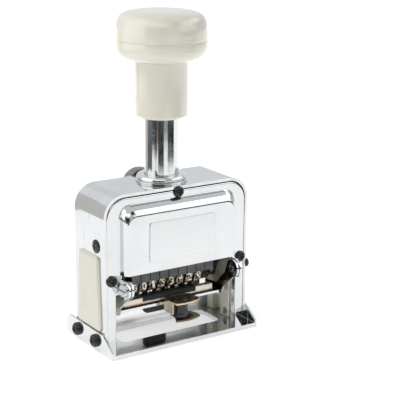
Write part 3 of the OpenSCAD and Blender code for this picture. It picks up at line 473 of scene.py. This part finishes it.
def piece(name, verts, faces, finish, body, stands_for=(), sharp=40):
    """A new mesh piece from points in millimetres, with its material, on its body."""
    mesh = bpy.data.meshes.new(name)
    mesh.from_pydata([tuple(c * MM for c in v) for v in verts], [], faces)
    mesh.validate()
    work = bmesh.new()
    work.from_mesh(mesh)
    bmesh.ops.recalc_face_normals(work, faces=work.faces)
    work.to_mesh(mesh)
    work.free()
    mesh.polygons.foreach_set("use_smooth", [True] * len(mesh.polygons))
    mesh.set_sharp_from_angle(angle=math.radians(sharp))
    obj = bpy.data.objects.new(name, mesh)
    scene.collection.objects.link(obj)
    mesh.materials.append(MAT[finish])
    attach(obj, body)
    if stands_for:
        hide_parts(*stands_for)
    return obj


def lathe(name, profile, finish, body, stands_for=(), x=0.0, y=TUBE_Y, steps=128, sharp=40):
    """A turned piece: profile is (radius, height) from one end on the axis to the other."""
    verts, faces, rings = [], [], []
    for r, z in profile:
        if r < 1e-6:
            rings.append([len(verts)])
            verts.append((x, y, z))
        else:
            rings.append(list(range(len(verts), len(verts) + steps)))
            for i in range(steps):
                a = 2 * math.pi * i / steps
                verts.append((x + r * math.cos(a), y + r * math.sin(a), z))
    for low, high in zip(rings, rings[1:]):
        for i in range(steps):
            j = (i + 1) % steps
            if len(low) == 1:
                faces.append((low[0], high[i], high[j]))
            elif len(high) == 1:
                faces.append((low[i], high[0], low[j]))
            else:
                faces.append((low[i], low[j], high[j], high[i]))
    return piece(name, verts, faces, finish, body, stands_for, sharp)


def arc(cx, cz, r, start, end, count=12):
    """Points on an arc between two angles in degrees."""
    return [(cx + r * math.cos(math.radians(start + (end - start) * i / count)),
             cz + r * math.sin(math.radians(start + (end - start) * i / count))) for i in range(count + 1)]


def smooth(points, steps):
    """A Catmull-Rom curve through the points, from the first to the last."""

    def between(a, b, c, d, t):
        return 0.5 * (2 * b + (c - a) * t + (2 * a - 5 * b + 4 * c - d) * t * t
                      + (3 * b - a - 3 * c + d) * t ** 3)

    ends = [points[0]] + points + [points[-1]]
    made = []
    for a, b, c, d in zip(ends, ends[1:], ends[2:], ends[3:]):
        for i in range(steps):
            made.append(tuple(between(a[k], b[k], c[k], d[k], i / steps) for k in (0, 1)))
    return made + [points[-1]]


# ---- knob and sleeve -----------------------------------------------------

CAP_LOW, CAP_HIGH = span("knob_cap")
RING_LOW = span("knob_ring")[0]
SLEEVE_LOW, SLEEVE_HIGH = span("handle_sleeve")
KNOB_R = (CAP_HIGH.x - CAP_LOW.x) / 2
SLEEVE_R = (SLEEVE_HIGH.x - SLEEVE_LOW.x) / 2 + 0.3
SEAM = CAP_LOW.z
# The crown's section over the seam: (share of the knob's radius, height out of CROWN_TALL)
CROWN_TALL = 16.0
CROWN = ((0.997, 4.5), (0.985, 7.5), (0.96, 10.0), (0.92, 12.0), (0.865, 13.5), (0.79, 14.5),
         (0.7, 15.15), (0.6, 15.55), (0.45, 15.84), (0.25, 15.96))


def knob_crown(groove):
    """The flat-topped upper half, with an upright band over the seam."""
    band = SEAM + 1.5
    scale = (CAP_HIGH.z - SEAM) / CROWN_TALL
    shoulder = (KNOB_R - 0.02, band + 0.2)
    profile = [(0, SEAM + 0.02), (KNOB_R - groove, SEAM + 0.02), (KNOB_R - groove, SEAM + 0.08),
               (KNOB_R, SEAM + 0.2), (KNOB_R, band), shoulder]
    curve = [(KNOB_R * share, SEAM + height * scale) for share, height in CROWN]
    profile += smooth([shoulder] + curve + [(0, CAP_HIGH.z)], 5)[1:]
    lathe("knob_crown", profile, "knob", "plunger", ["knob_cap"])


def knob_skirt(groove):
    """The lower half, rounded from the seam in to the sleeve."""
    rim = 6.2
    profile = [(0, RING_LOW.z), (KNOB_R - rim - 2.6, RING_LOW.z)]
    profile += arc(KNOB_R - rim, RING_LOW.z + rim + 0.1, rim, -85, 0, 16)
    profile += [(KNOB_R, SEAM - 0.2), (KNOB_R - groove, SEAM - 0.08), (KNOB_R - groove, SEAM - 0.02)]
    profile += [(0, SEAM - 0.02)]
    lathe("knob_skirt", profile, "knob", "plunger", ["knob_ring"])


def knob_sleeve():
    """A plain sleeve with a stepped and rounded foot, open up to its blind end."""
    round_r = 0.9
    bore, bore_depth = TUBE_R + 0.05, 14
    low, high = SLEEVE_LOW.z, SLEEVE_HIGH.z
    profile = [(bore, low + bore_depth), (bore, low)]
    profile += arc(SLEEVE_R - 2.3, low + 0.3, 0.3, -90, 0, 4)
    profile += [(SLEEVE_R - 2.0, low + 0.6)]
    profile += arc(SLEEVE_R - round_r, low + 0.7 + round_r, round_r, -80, 0, 10)
    profile += [(SLEEVE_R, high - 1.0)]
    profile += arc(SLEEVE_R - 0.6, high - 0.6, 0.6, 0, 90, 4)
    profile += [(0, high)]
    lathe("knob_sleeve", profile, "knob", "plunger", ["handle_sleeve"])


SEAM_GROOVE = 0.045
knob_crown(SEAM_GROOVE)
knob_skirt(SEAM_GROOVE)
knob_sleeve()


# ---- collar ---------------------------------------------------------------

def collar():
    """Two tiers: a thin foot ring, a groove, and a round-shouldered ring up to the tube."""
    low, high = span("collar")
    outer = (high.x - low.x) / 2
    seat = span("outer_shell")[1].z
    bore = TUBE_R + 0.05
    barrel = outer - 2.9
    tier = outer - 0.5
    shoulder = 1.5
    neck = tier - 0.55
    profile = [(bore, low.z), (barrel, low.z), (barrel, seat)]
    profile += [(outer - 0.15, seat), (outer, seat + 0.15), (outer, seat + 0.55), (outer - 0.15, seat + 0.7)]
    profile += [(neck, seat + 0.8), (neck, seat + 1.0)]
    profile += arc(tier - 0.3, seat + 1.3, 0.3, -90, 0, 3)
    profile += arc(tier - shoulder, high.z - shoulder, shoulder, 0, 82, 10)
    profile += [(bore + 0.9, high.z)]
    profile += arc(bore + 0.35, high.z - 0.35, 0.35, 90, 180, 4)
    profile += [(bore, low.z)]
    lathe("collar_rings", profile, "tube", "frame", ["collar"])


collar()


# ---- return spring ---------------------------------------------------------

SPRING_WIRE, SPRING_TURNS = 0.6, 11


def coil_mesh(radius, wire, bottom, top):
    """Round wire wound from bottom to top, with flat ends."""
    steps, round_steps = 32 * SPRING_TURNS, 10
    verts, faces = [], []
    for i in range(steps + 1):
        share = i / steps
        a = 2 * math.pi * SPRING_TURNS * share
        z = bottom + (top - bottom) * share
        for k in range(round_steps):
            b = 2 * math.pi * k / round_steps
            r = radius + wire * math.cos(b)
            verts.append((r * math.cos(a), TUBE_Y + r * math.sin(a), z + wire * math.sin(b)))
    for i in range(steps):
        for k in range(round_steps):
            j = (k + 1) % round_steps
            a, b = i * round_steps, (i + 1) * round_steps
            faces.append((a + k, b + k, b + j, a + j))
    faces.append(tuple(range(round_steps)))
    faces.append(tuple(steps * round_steps + k for k in range(round_steps)))
    return verts, faces


def return_spring():
    """The coil between the bridge and the cap, on a mesh of its own."""
    low, high = span("return_spring")
    wire = SPRING_WIRE
    verts, faces = coil_mesh((high.x - low.x) / 2 - wire, wire, low.z + wire, high.z - wire)
    coil = piece("spring_coil", verts, faces, "spring", "frame", ["return_spring"])
    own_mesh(coil)


return_spring()


# ---- front cover ---------------------------------------------------------

COVER_LOW, COVER_HIGH = span("front_cover")
COVER_FRONT = span("outer_shell")[0].y
COVER_BACK = COVER_FRONT + 1.2
COVER_HALF = COVER_HIGH.x + 0.1
COVER_TOP = COVER_HIGH.z - 0.35
COVER_CORNER = 8.75
MOUTH_HALF, MOUTH_STEP = 31.2, 25.8
EAR_HALF, EAR_T, EAR_R = 28.1, 1.2, 4.3
PAN_HALF, PAN_TOP, PAN_FOOT, PAN_CORNER = 29.3, 65.3, 35.0, 5.6
PAN_DEPTH = 4.2
PAN_SIDE = 0.56
PAN_FILLET = 0.45
PIN_LOW, PIN_HIGH = span("inker_pivot_pins")
PIVOT_Y = (PIN_LOW.y + PIN_HIGH.y) / 2
PIVOT_Z = (PIN_LOW.z + PIN_HIGH.z) / 2
PAN_WALL = 1.1
FLANGE_T, FLANGE_DEPTH = 1.2, 2.6
# The cover's edge faces that are painted near black as shade in the groove lie over the first height, in mm,
# and past the line |x| + z = the second
EDGE_SHADE_Z, EDGE_SHADE_SUM = 57, 97


def arch_points(half, top, corner, foot, sides=10, turns=10, across=24):
    """An upside-down U from the left foot over the top to the right foot, as (x, z)."""
    left = [(-half, foot + (top - corner - foot) * i / sides) for i in range(sides)]
    left += arc(-half + corner, top - corner, corner, 180, 90, turns)
    flat = [(-half + corner + 2 * (half - corner) * i / across, top) for i in range(1, across)]
    return left + flat + [(-x, z) for x, z in reversed(left)]


def plate_columns(grow_out, grow_in, grow_rim=0.0):
    """Matching points on the plate's outer and inner outline, each moved into the sheet."""
    half, top = COVER_HALF - grow_out, COVER_TOP - grow_out
    step = MOUTH_STEP + grow_in
    rim = PAN_FILLET + grow_rim
    corners = [(-MOUTH_HALF - grow_in, COVER_LOW.z), (-MOUTH_HALF - grow_in, step),
               (-EAR_HALF - grow_in, step), (-EAR_HALF - grow_in, PAN_FOOT)]
    outer_z = [COVER_LOW.z, MOUTH_STEP, MOUTH_STEP + 2, PAN_FOOT - 0.5]
    inner, outer = [], []
    for (x0, z0), (x1, z1), low, high in zip(corners, corners[1:], outer_z, outer_z[1:]):
        for i in range(6):
            inner.append((x0 + (x1 - x0) * i / 6, z0 + (z1 - z0) * i / 6))
            outer.append((-half, low + (high - low) * i / 6))
    inner.append(corners[-1])
    outer.append((-half, outer_z[-1]))
    foot_in = [(-x, z) for x, z in reversed(inner)]
    foot_out = [(-x, z) for x, z in reversed(outer)]
    inner += arch_points(PAN_HALF + rim, PAN_TOP + rim, PAN_CORNER + rim, PAN_FOOT) + foot_in
    outer += arch_points(half, top, COVER_CORNER - grow_out, PAN_FOOT) + foot_out
    return outer, inner


def loft(rows, closed=False):
    """Faces between rows of equal length, and the points in one list."""
    verts = [point for row in rows for point in row]
    count = len(rows[0])
    faces = []
    pairs = list(zip(range(len(rows)), range(1, len(rows))))
    if closed:
        pairs.append((len(rows) - 1, 0))
    for a, b in pairs:
        for i in range(count - 1):
            faces.append((a * count + i, a * count + i + 1, b * count + i + 1, b * count + i))
    return verts, faces


def cover_plate():
    """The flat sheet round the pan, with rounded edges: rows go round its section."""
    edge = 0.55
    hold = 0.1
    steps = 5
    turns = [math.radians(90 * i / steps) for i in range(steps + 1)]
    rows = [[(x, COVER_BACK, z) for x, z in plate_columns(0, 0)[0]]]
    for a in turns:
        outer = plate_columns(edge * (1 - math.cos(a)), 0)[0]
        rows.append([(x, COVER_FRONT + edge * (1 - math.sin(a)), z) for x, z in outer])
    rows.append([(x, COVER_FRONT, z) for x, z in plate_columns(edge + hold, 0)[0]])
    rows.append([(x, COVER_FRONT, z) for x, z in plate_columns(0, edge + hold, hold)[1]])
    for a in reversed(turns):
        inner = plate_columns(0, edge * (1 - math.cos(a)))[1]
        depth = edge * (1 - math.sin(a))
        rows.append([(x, COVER_FRONT + (depth if z < PAN_FOOT + 0.01 else 0), z) for x, z in inner])
    rows.append([(x, COVER_BACK, z) for x, z in plate_columns(0, 0)[1]])
    verts, faces = loft(rows, closed=True)
    count = len(rows[0])
    for end in (0, count - 1):
        faces.append(tuple(k * count + end for k in range(len(rows))))
    return verts, faces


# The pan's section from its foot to its flat face: (slope to the sheet in degrees, length before scaling)
PAN_SECTION = ((64, 0.6), (60, 0.9), (56, 0.8), (50, 0.5), (45, 0.5), (40, 0.6), (35, 0.8), (30, 0.7),
               (25, 0.5), (20, 0.25), (15, 0.25), (10, 0.25), (5, 0.25))


def pan_profile():
    """(inset from the pan's foot outline, height over the sheet) from the fillet to the flat face."""
    points = [(-PAN_FILLET, 0.0)]
    top = PAN_SECTION[0][0]
    radius = PAN_FILLET / math.sin(math.radians(top))
    for i in range(1, 6):
        a = math.radians(top * i / 5)
        points.append((-PAN_FILLET + radius * math.sin(a), radius * (1 - math.cos(a))))
    scale = (PAN_DEPTH - points[-1][1]) / sum(l * math.sin(math.radians(a)) for a, l in PAN_SECTION)
    for angle, length in PAN_SECTION:
        a = math.radians(angle)
        inset, height = points[-1]
        points.append((inset + scale * length * math.cos(a), height + scale * length * math.sin(a)))
    inset, height = points[-1]
    return points + [(inset + 0.8, height)]


def pan():
    """The raised pan as a hollow shell with a flat face."""

    def outline(inset, height, shrink):
        half = PAN_HALF - (inset * PAN_SIDE if inset > 0 else inset) - shrink
        top = PAN_TOP - inset - shrink
        corner = max(1.2, PAN_CORNER - 0.42 * inset - shrink)
        y = COVER_FRONT - height + shrink
        return [(x, y, z) for x, z in arch_points(half, top, corner, PAN_FOOT)]

    profile = pan_profile()
    first = [(x, COVER_BACK, z) for x, y, z in outline(*profile[0], 0)]
    rows = [first] + [outline(inset, height, 0) for inset, height in profile]
    inside = [outline(inset, height, PAN_WALL) for inset, height in reversed(profile[5::3])]
    inside.append([(x, COVER_BACK, z) for x, y, z in inside[-1]])
    turn = len(rows)
    verts, faces = loft(rows + inside, closed=True)
    count = len(rows[0])
    faces = [f for f in faces if not (f[0] // count == turn - 1 and f[2] // count == turn)]
    faces.append(tuple((turn - 1) * count + i for i in range(count)))
    faces.append(tuple(turn * count + i for i in range(count)))
    total = turn + len(inside)
    for end in (0, count - 1):
        faces.append(tuple(k * count + end for k in range(total)))
    faces.append(((turn - 1) * count, turn * count, turn * count + count - 1, turn * count - 1))
    return verts, faces


def ear(side):
    """A lug that holds a pivot pin, with a round end and a hole."""
    hole = 1.65
    steps = 24
    x0, x1 = side * EAR_HALF, side * (EAR_HALF + EAR_T)
    outer = arc(PIVOT_Y, PIVOT_Z, EAR_R, 90, 270, steps)
    back = COVER_FRONT + 0.1
    outer += [(back, PIVOT_Z - EAR_R + 2 * EAR_R * i / 8) for i in range(9)]
    inner = []
    for y, z in outer:
        a = math.atan2(z - PIVOT_Z, y - PIVOT_Y)
        inner.append((PIVOT_Y + hole * math.cos(a), PIVOT_Z + hole * math.sin(a)))
    edge = 0.2

    def ring(points, x, shrink):
        return [(x, PIVOT_Y + (y - PIVOT_Y) * (1 - shrink), PIVOT_Z + (z - PIVOT_Z) * (1 - shrink))
                for y, z in points + points[:1]]

    rows = [ring(outer, x0, edge / EAR_R), ring(outer, x0 + side * edge, 0), ring(outer, x1 - side * edge, 0),
            ring(outer, x1, edge / EAR_R), ring(inner, x1, 0), ring(inner, x0, 0)]
    return loft(rows, closed=True)


def flange(side):
    """The sheet turned back beside the mouth."""
    x0, x1 = sorted((side * MOUTH_HALF, side * (MOUTH_HALF + FLANGE_T)))
    y0, y1 = COVER_BACK, COVER_BACK + FLANGE_DEPTH
    z0, z1 = COVER_LOW.z, MOUTH_STEP
    verts = [(x, y, z) for x in (x0, x1) for y in (y0, y1) for z in (z0, z1)]
    return verts, [(0, 1, 3, 2), (4, 5, 7, 6), (0, 1, 5, 4), (2, 3, 7, 6), (0, 2, 6, 4), (1, 3, 7, 5)]


def front_cover():
    """The sheet, its pan, ears and flanges as one piece, with painted shade on its upper edges."""
    verts, faces = [], []
    for points, more in (cover_plate(), pan(), ear(-1), ear(1), flange(-1), flange(1)):
        start = len(verts)
        verts += points
        faces += [tuple(i + start for i in f) for f in more]
    obj = piece("front_cover_sheet", verts, faces, "cover", "frame", ["front_cover"], sharp=32)
    obj.data.materials.append(MAT["cover_edge"])
    # Painted shade: the edge faces at the upper corners take the near-black material
    for face in obj.data.polygons:
        x, y, z = face.center / MM
        if y > COVER_FRONT + 0.2 and z > EDGE_SHADE_Z and abs(x) + z > EDGE_SHADE_SUM:
            face.material_index = 1
    weld = obj.modifiers.new("join", "WELD")
    weld.merge_threshold = 0.001 * MM


front_cover()


# ---- raised digits on the wheels -----------------------------------------

def glyph(digit):
    """Outline mesh of a digit, 1 by 1, centred, extruded from 0 to 1 in height."""
    curve = bpy.data.curves.new("glyph", "FONT")
    curve.body = str(digit)
    curve.size = 1.0
    curve.extrude = 0.5
    curve.offset = 0.012
    curve.resolution_u = 4
    holder = bpy.data.objects.new("glyph", curve)
    scene.collection.objects.link(holder)
    bpy.context.view_layer.update()
    mesh = bpy.data.meshes.new_from_object(holder)
    verts = [tuple(v.co) for v in mesh.vertices]
    faces = [tuple(p.vertices) for p in mesh.polygons]
    bpy.data.objects.remove(holder)
    bpy.data.curves.remove(curve)
    bpy.data.meshes.remove(mesh)
    low = [min(v[i] for v in verts) for i in range(3)]
    high = [max(v[i] for v in verts) for i in range(3)]
    return [tuple((v[i] - low[i]) / (high[i] - low[i]) - (0.5 if i < 2 else 0) for i in range(3))
            for v in verts], faces


GLYPHS = [glyph(d) for d in range(10)]
FLAT = WHEEL_R * math.cos(math.pi / SIDES)
GLYPH_W, GLYPH_H = 2.1, 4.0
GLYPH_LEAN = 1.2
ONE_WIDTH = 0.55
RATCHET_W = 0.7
TYPE_SINK = 0.05


def digits(number):
    """The ten raised digits of one wheel, sunk a little into its flats."""
    low, high = span("number_wheel_%d" % number)
    middle = low.x + (high.x - low.x - RATCHET_W) / 2
    verts, faces = [], []
    for k in range(SIDES):
        digit = (number + k) % 10
        points, outline = GLYPHS[digit]
        wide = GLYPH_W * (ONE_WIDTH if digit == 1 else 1.0)
        turn = 2 * math.pi * k / SIDES
        start = len(verts)
        for u, v, h in points:
            x = middle + u * wide + v * GLYPH_LEAN
            y = v * GLYPH_H
            z = -(FLAT - TYPE_SINK + h * (TYPE_H + TYPE_SINK))
            verts.append((x, AXLE_Y + y * math.cos(turn) - z * math.sin(turn),
                          AXLE_Z + y * math.sin(turn) + z * math.cos(turn)))
        faces += [tuple(i + start for i in f) for f in outline]
    piece("digits_%d" % number, verts, faces, "type", "wheel_%d" % number)


for number in range(1, 9):
    digits(number)


# ---- ink pad -------------------------------------------------------------

PAD_ROUND, PAD_DISH, PAD_FUZZ = 0.55, 0.18, 0.05


def felt_point(u, v, w, rng):
    """A point of the pad's skin from its shares of the length, depth and height."""
    low, high = PAD_LOW, PAD_HIGH
    size = high - low
    p = Vector((low.x + u * size.x, low.y + v * size.y, low.z + w * size.z))
    inner = Vector([min(max(p[i], low[i] + PAD_ROUND), high[i] - PAD_ROUND) for i in range(3)])
    away = p - inner
    if away.length > PAD_ROUND:
        p = inner + away.normalized() * PAD_ROUND
    wave = 0.07 * math.sin(p.x * 1.9 + p.z * 2.3) + 0.05 * math.sin(p.x * 4.7 + p.y * 3.1)
    fuzz = rng.uniform(0, PAD_FUZZ)
    if away.length > 1e-6:
        p = p + (inner - p).normalized() * (abs(wave) + fuzz)
    if w == 1:
        p.z -= PAD_DISH * (1 - (2 * v - 1) ** 2)
    return tuple(p)


def ink_pad():
    """A felt block with rounded edges, a fibrous surface and a dished top."""
    rng = random.Random(7)
    nx, ny, nz = 96, 20, 9
    verts, index = [], {}

    def point(i, j, k):
        key = (i, j, k)
        if key not in index:
            index[key] = len(verts)
            verts.append(felt_point(i / nx, j / ny, k / nz, rng))
        return index[key]

    faces = []
    for i in range(nx):
        for j in range(ny):
            for k in (0, nz):
                faces.append((point(i, j, k), point(i + 1, j, k), point(i + 1, j + 1, k), point(i, j + 1, k)))
    for i in range(nx):
        for k in range(nz):
            for j in (0, ny):
                faces.append((point(i, j, k), point(i + 1, j, k), point(i + 1, j, k + 1), point(i, j, k + 1)))
    for j in range(ny):
        for k in range(nz):
            for i in (0, nx):
                faces.append((point(i, j, k), point(i, j + 1, k), point(i, j + 1, k + 1), point(i, j, k + 1)))
    pad = piece("felt_pad", verts, faces, "felt", "ink_drawer", ["ink_pad"], sharp=180)


ink_pad()


# ---- catch under the finger tab --------------------------------------------

def tray_catch():
    """A glossy turned post with a waist, and a foot that runs out to the right."""
    low, high = span("tray_catch")
    middle = (low.y + high.y) / 2
    r = (high.y - low.y) / 2
    centre = low.x + r
    tall = high.z - low.z
    profile = [(0, low.z), (r - 0.2, low.z), (r, low.z + 0.2), (r, low.z + 0.16 * tall)]
    waist = ((0.25, 0.3), (0.45, 0.5), (0.2, 0.72), (0.0, 0.82))
    profile += [(r - inset, low.z + share * tall) for inset, share in waist]
    profile += [(r, high.z - 0.25), (r - 0.25, high.z), (0, high.z)]
    lathe("catch_post", profile, "catch", "ink_drawer", ["tray_catch"], centre, middle, 64)
    width = (high.y - low.y) * 0.3
    inner, rise = centre + r - 1.2, 1.9
    outline = [(inner, low.z), (high.x - 0.3, low.z), (high.x, low.z + 0.25), (high.x - 0.1, low.z + 0.6),
               (centre + r + 0.8, low.z + 0.95), (centre + r + 0.1, low.z + rise), (inner, low.z + rise)]
    count = len(outline)
    verts = [(x, middle + side * width, z) for side in (-1, 1) for x, z in outline]
    faces = [tuple(range(count)), tuple(range(2 * count - 1, count - 1, -1))]
    faces += [(i, (i + 1) % count, (i + 1) % count + count, i + count) for i in range(count)]
    piece("catch_foot", verts, faces, "catch", "ink_drawer")


tray_catch()


# ---- floor, lights and cards ---------------------------------------------

def emitter(name, strength, color=(1, 1, 1)):
    """An evenly glowing material."""
    mat = bpy.data.materials.new(name)
    mat.use_nodes = True
    tree = mat.node_tree
    tree.nodes.clear()
    out = tree.nodes.new("ShaderNodeOutputMaterial")
    glow = tree.nodes.new("ShaderNodeEmission")
    glow.inputs["Color"].default_value = (*color, 1)
    glow.inputs["Strength"].default_value = strength
    tree.links.new(glow.outputs[0], out.inputs["Surface"])
    return mat


def stage_mesh(name, verts, faces, mat):
    """A mesh of the studio, with points in metres, which isn't part of the object."""
    mesh = bpy.data.meshes.new(name)
    mesh.from_pydata(verts, [], faces)
    obj = bpy.data.objects.new(name, mesh)
    scene.collection.objects.link(obj)
    mesh.materials.append(mat)
    return obj


def card_only(obj):
    """Makes a mesh a card that only shows in reflections."""
    obj.visible_camera = False
    obj.visible_diffuse = False
    obj.visible_shadow = False
    obj.visible_transmission = False


def floor():
    """A pale floor that is bright enough to render white."""
    mat = bpy.data.materials.new("floor_white")
    mat.use_nodes = True
    bsdf = mat.node_tree.nodes["Principled BSDF"]
    bsdf.inputs["Base Color"].default_value = (0.72, 0.72, 0.725, 1)
    bsdf.inputs["Emission Color"].default_value = (1, 1, 1, 1)
    bsdf.inputs["Emission Strength"].default_value = 0.55
    bsdf.inputs["Roughness"].default_value = 0.75
    bsdf.inputs["Specular IOR Level"].default_value = 0.2
    half = 6.0
    stage_mesh("floor", [(-half, -half, 0), (half, -half, 0), (half, half, 0), (-half, half, 0)],
               [(0, 1, 2, 3)], mat)


def ring_card(name, radius, start, end, low, high, strength, color=(1, 1, 1), ragged=0.0):
    """A curved card round the tube; angles are azimuths in degrees, 0 in front, positive to the right."""
    rng = random.Random(3)
    steps = max(2, int(abs(end - start) / (0.4 if ragged else 4)))
    verts, faces = [], []
    for i in range(steps + 1):
        a = math.radians(start + (end - start) * i / steps)
        for z in (low, high + rng.uniform(-ragged, ragged)):
            verts.append((radius * math.sin(a), TUBE_Y * MM - radius * math.cos(a), z))
    for i in range(steps):
        faces.append((2 * i, 2 * i + 2, 2 * i + 3, 2 * i + 1))
    card = stage_mesh(name, verts, faces, emitter(name, strength, color))
    card_only(card)
    return card


def sky_card(name, start, end, low, high, strength, color=(1, 1, 1), radius=1.5):
    """A patch of a far dome, between two azimuths and two elevations in degrees."""
    steps, rows = max(2, int(abs(end - start) / 5)), max(2, int((high - low) / 5))
    verts, faces = [], []
    for i in range(steps + 1):
        a = math.radians(start + (end - start) * i / steps)
        for k in range(rows + 1):
            e = math.radians(low + (high - low) * k / rows)
            verts.append((radius * math.sin(a) * math.cos(e), -radius * math.cos(a) * math.cos(e),
                          0.05 + radius * math.sin(e)))
    for i in range(steps):
        for k in range(rows):
            a = i * (rows + 1) + k
            faces.append((a, a + rows + 1, a + rows + 2, a + 1))
    card = stage_mesh(name, verts, faces, emitter(name, strength, color))
    card_only(card)
    return card


def light(name, kind, power):
    """A light that no metal shows."""
    data = bpy.data.lights.new(name, kind)
    data.energy = power
    obj = bpy.data.objects.new(name, data)
    scene.collection.objects.link(obj)
    obj.visible_glossy = False
    return obj, data


def aim(obj, way):
    """Points a light along a direction."""
    obj.rotation_mode = "QUATERNION"
    obj.rotation_quaternion = way.to_track_quat("-Z", "Y")


def sun(name, azimuth, elevation, strength, spread):
    """Soft light from far away; the angles are in degrees."""
    obj, data = light(name, "SUN", strength)
    data.angle = math.radians(spread)
    a, e = math.radians(azimuth), math.radians(elevation)
    toward = Vector((math.sin(a) * math.cos(e), -math.cos(a) * math.cos(e), math.sin(e)))
    aim(obj, -toward)


def spot(name, place, target, cone, power):
    """A soft narrow beam from a place to a target."""
    obj, data = light(name, "SPOT", power)
    data.spot_size = math.radians(cone)
    data.spot_blend = 0.6
    data.shadow_soft_size = 0.04
    obj.location = place
    aim(obj, Vector(target) - Vector(place))


def glow(name, middle, width, depth, power):
    """A flat light that shines upward and that the camera doesn't show."""
    obj, data = light(name, "AREA", power)
    data.shape = "RECTANGLE"
    data.size, data.size_y = width, depth
    obj.location = middle
    obj.rotation_euler = (math.pi, 0, 0)
    obj.visible_camera = False


def world_light(strength):
    """An even white sky."""
    world = bpy.data.worlds.new("studio")
    scene.world = world
    world.use_nodes = True
    background = world.node_tree.nodes["Background"]
    background.inputs["Color"].default_value = (1, 1, 1, 1)
    background.inputs["Strength"].default_value = strength


WORLD, KEY = 0.62, 1.5
scene.view_settings.view_transform = "Standard"
floor()
world_light(WORLD)
sun("soft_key", -98, 56, KEY, 50)
spot("mouth_fill", (0.12, -0.78, 0.016), (0.0, 0.0, 0.012), 9, 16)

# Light that white paper throws back up through the printing window
glow("paper_bounce", (-0.012, 0.0, 0.0008), 0.034, 0.02, 0.0062)

# What the chrome's curves see: a ceiling, three softboxes, a dark gap, walls and pale cards behind
COOL_WHITE = (0.95, 0.975, 1.0)
sky_card("ceiling", -180, 180, 50, 88, 0.76, COOL_WHITE)
sky_card("softbox_right", 30, 100, 27, 49, 2.2)
sky_card("softbox_left", -76, -14, 31, 49, 1.6)
sky_card("softbox_side", -135, -76, 2, 62, 1.6, radius=1.45)
sky_card("gap", -4, 24, 36, 56, 0.05, radius=1.4)
sky_card("dark_wall", 14, 62, -1, 9, 0.03)
sky_card("pale_wall", 14, 62, 9, 27, 1.5)
sky_card("camera_side", -70, -16, -1, 24, 0.04)
sky_card("back_right", 105, 180, 2, 50, 0.84, COOL_WHITE)
sky_card("back_high", -180, -136, 16, 50, 0.95, COOL_WHITE)
ring_card("back_left", 0.235, -160, -136, 0.001, 0.152, 0.66, (1.0, 0.99, 0.94), ragged=0.012)

# The photographer, who shades the front but shows in nothing
shade = sky_card("photographer", -50, 20, 8, 50, 0.0)
shade.visible_diffuse = True
shade.visible_glossy = False

# A white wall far round the floor, for views from low down
wall = ring_card("backdrop", 5.5, -180, 180, 0.0, 2.5, 1.0)
wall.visible_camera = True
wall.visible_glossy = False

# What the upright tube sees near the floor, as (from, to, distance, strength, colour)
STREAK_LOW, STREAK_HIGH = 0.001, 0.048
COOL, WARM, RED, PLAIN = (0.8, 0.9, 1.0), (1.0, 0.6, 0.4), (1.0, 0.45, 0.5), (1, 1, 1)
STREAKS = (
    (-160, -121, 0.270, 0.14, PLAIN), (-121, -116, 0.275, 0.20, RED), (-116, -95, 0.285, 0.14, COOL),
    (-95, -78, 0.374, 0.07, COOL), (-78, -60, 0.350, 0.06, COOL), (-60, -53, 0.374, 0.24, WARM),
    (-53, -16, 0.308, 0.035, PLAIN), (-16, 10, 0.404, 0.30, PLAIN), (10, 58, 0.334, 0.03, PLAIN),
)
for number, (start, end, near, strength, color) in enumerate(STREAKS):
    ring_card("streak_%d" % number, near, start, end, STREAK_LOW, STREAK_HIGH, strength, color)


# ---- camera, fitted to the photograph --------------------------------------

AZ, EL, ROLL = math.radians(-33.7), math.radians(15.32), math.radians(0.593)
PLACE = (-0.25911, -0.41849, 0.19599)
LENS, SENSOR = 103.46, 36
back = Vector((math.sin(AZ) * math.cos(EL), -math.cos(AZ) * math.cos(EL), math.sin(EL)))
right = Vector((math.cos(AZ), math.sin(AZ), 0))
up = back.cross(right)
right_r = math.cos(ROLL) * right + math.sin(ROLL) * up
up_r = -math.sin(ROLL) * right + math.cos(ROLL) * up
camera_data = bpy.data.cameras.new("camera")
camera_data.sensor_width = SENSOR
camera_data.lens = LENS
camera_data.clip_start, camera_data.clip_end = 0.01, 20
camera = bpy.data.objects.new("camera", camera_data)
scene.collection.objects.link(camera)
turn = Matrix((right_r, up_r, back)).transposed().to_4x4()
camera.matrix_world = Matrix.Translation(Vector(PLACE)) @ turn
scene.camera = camera
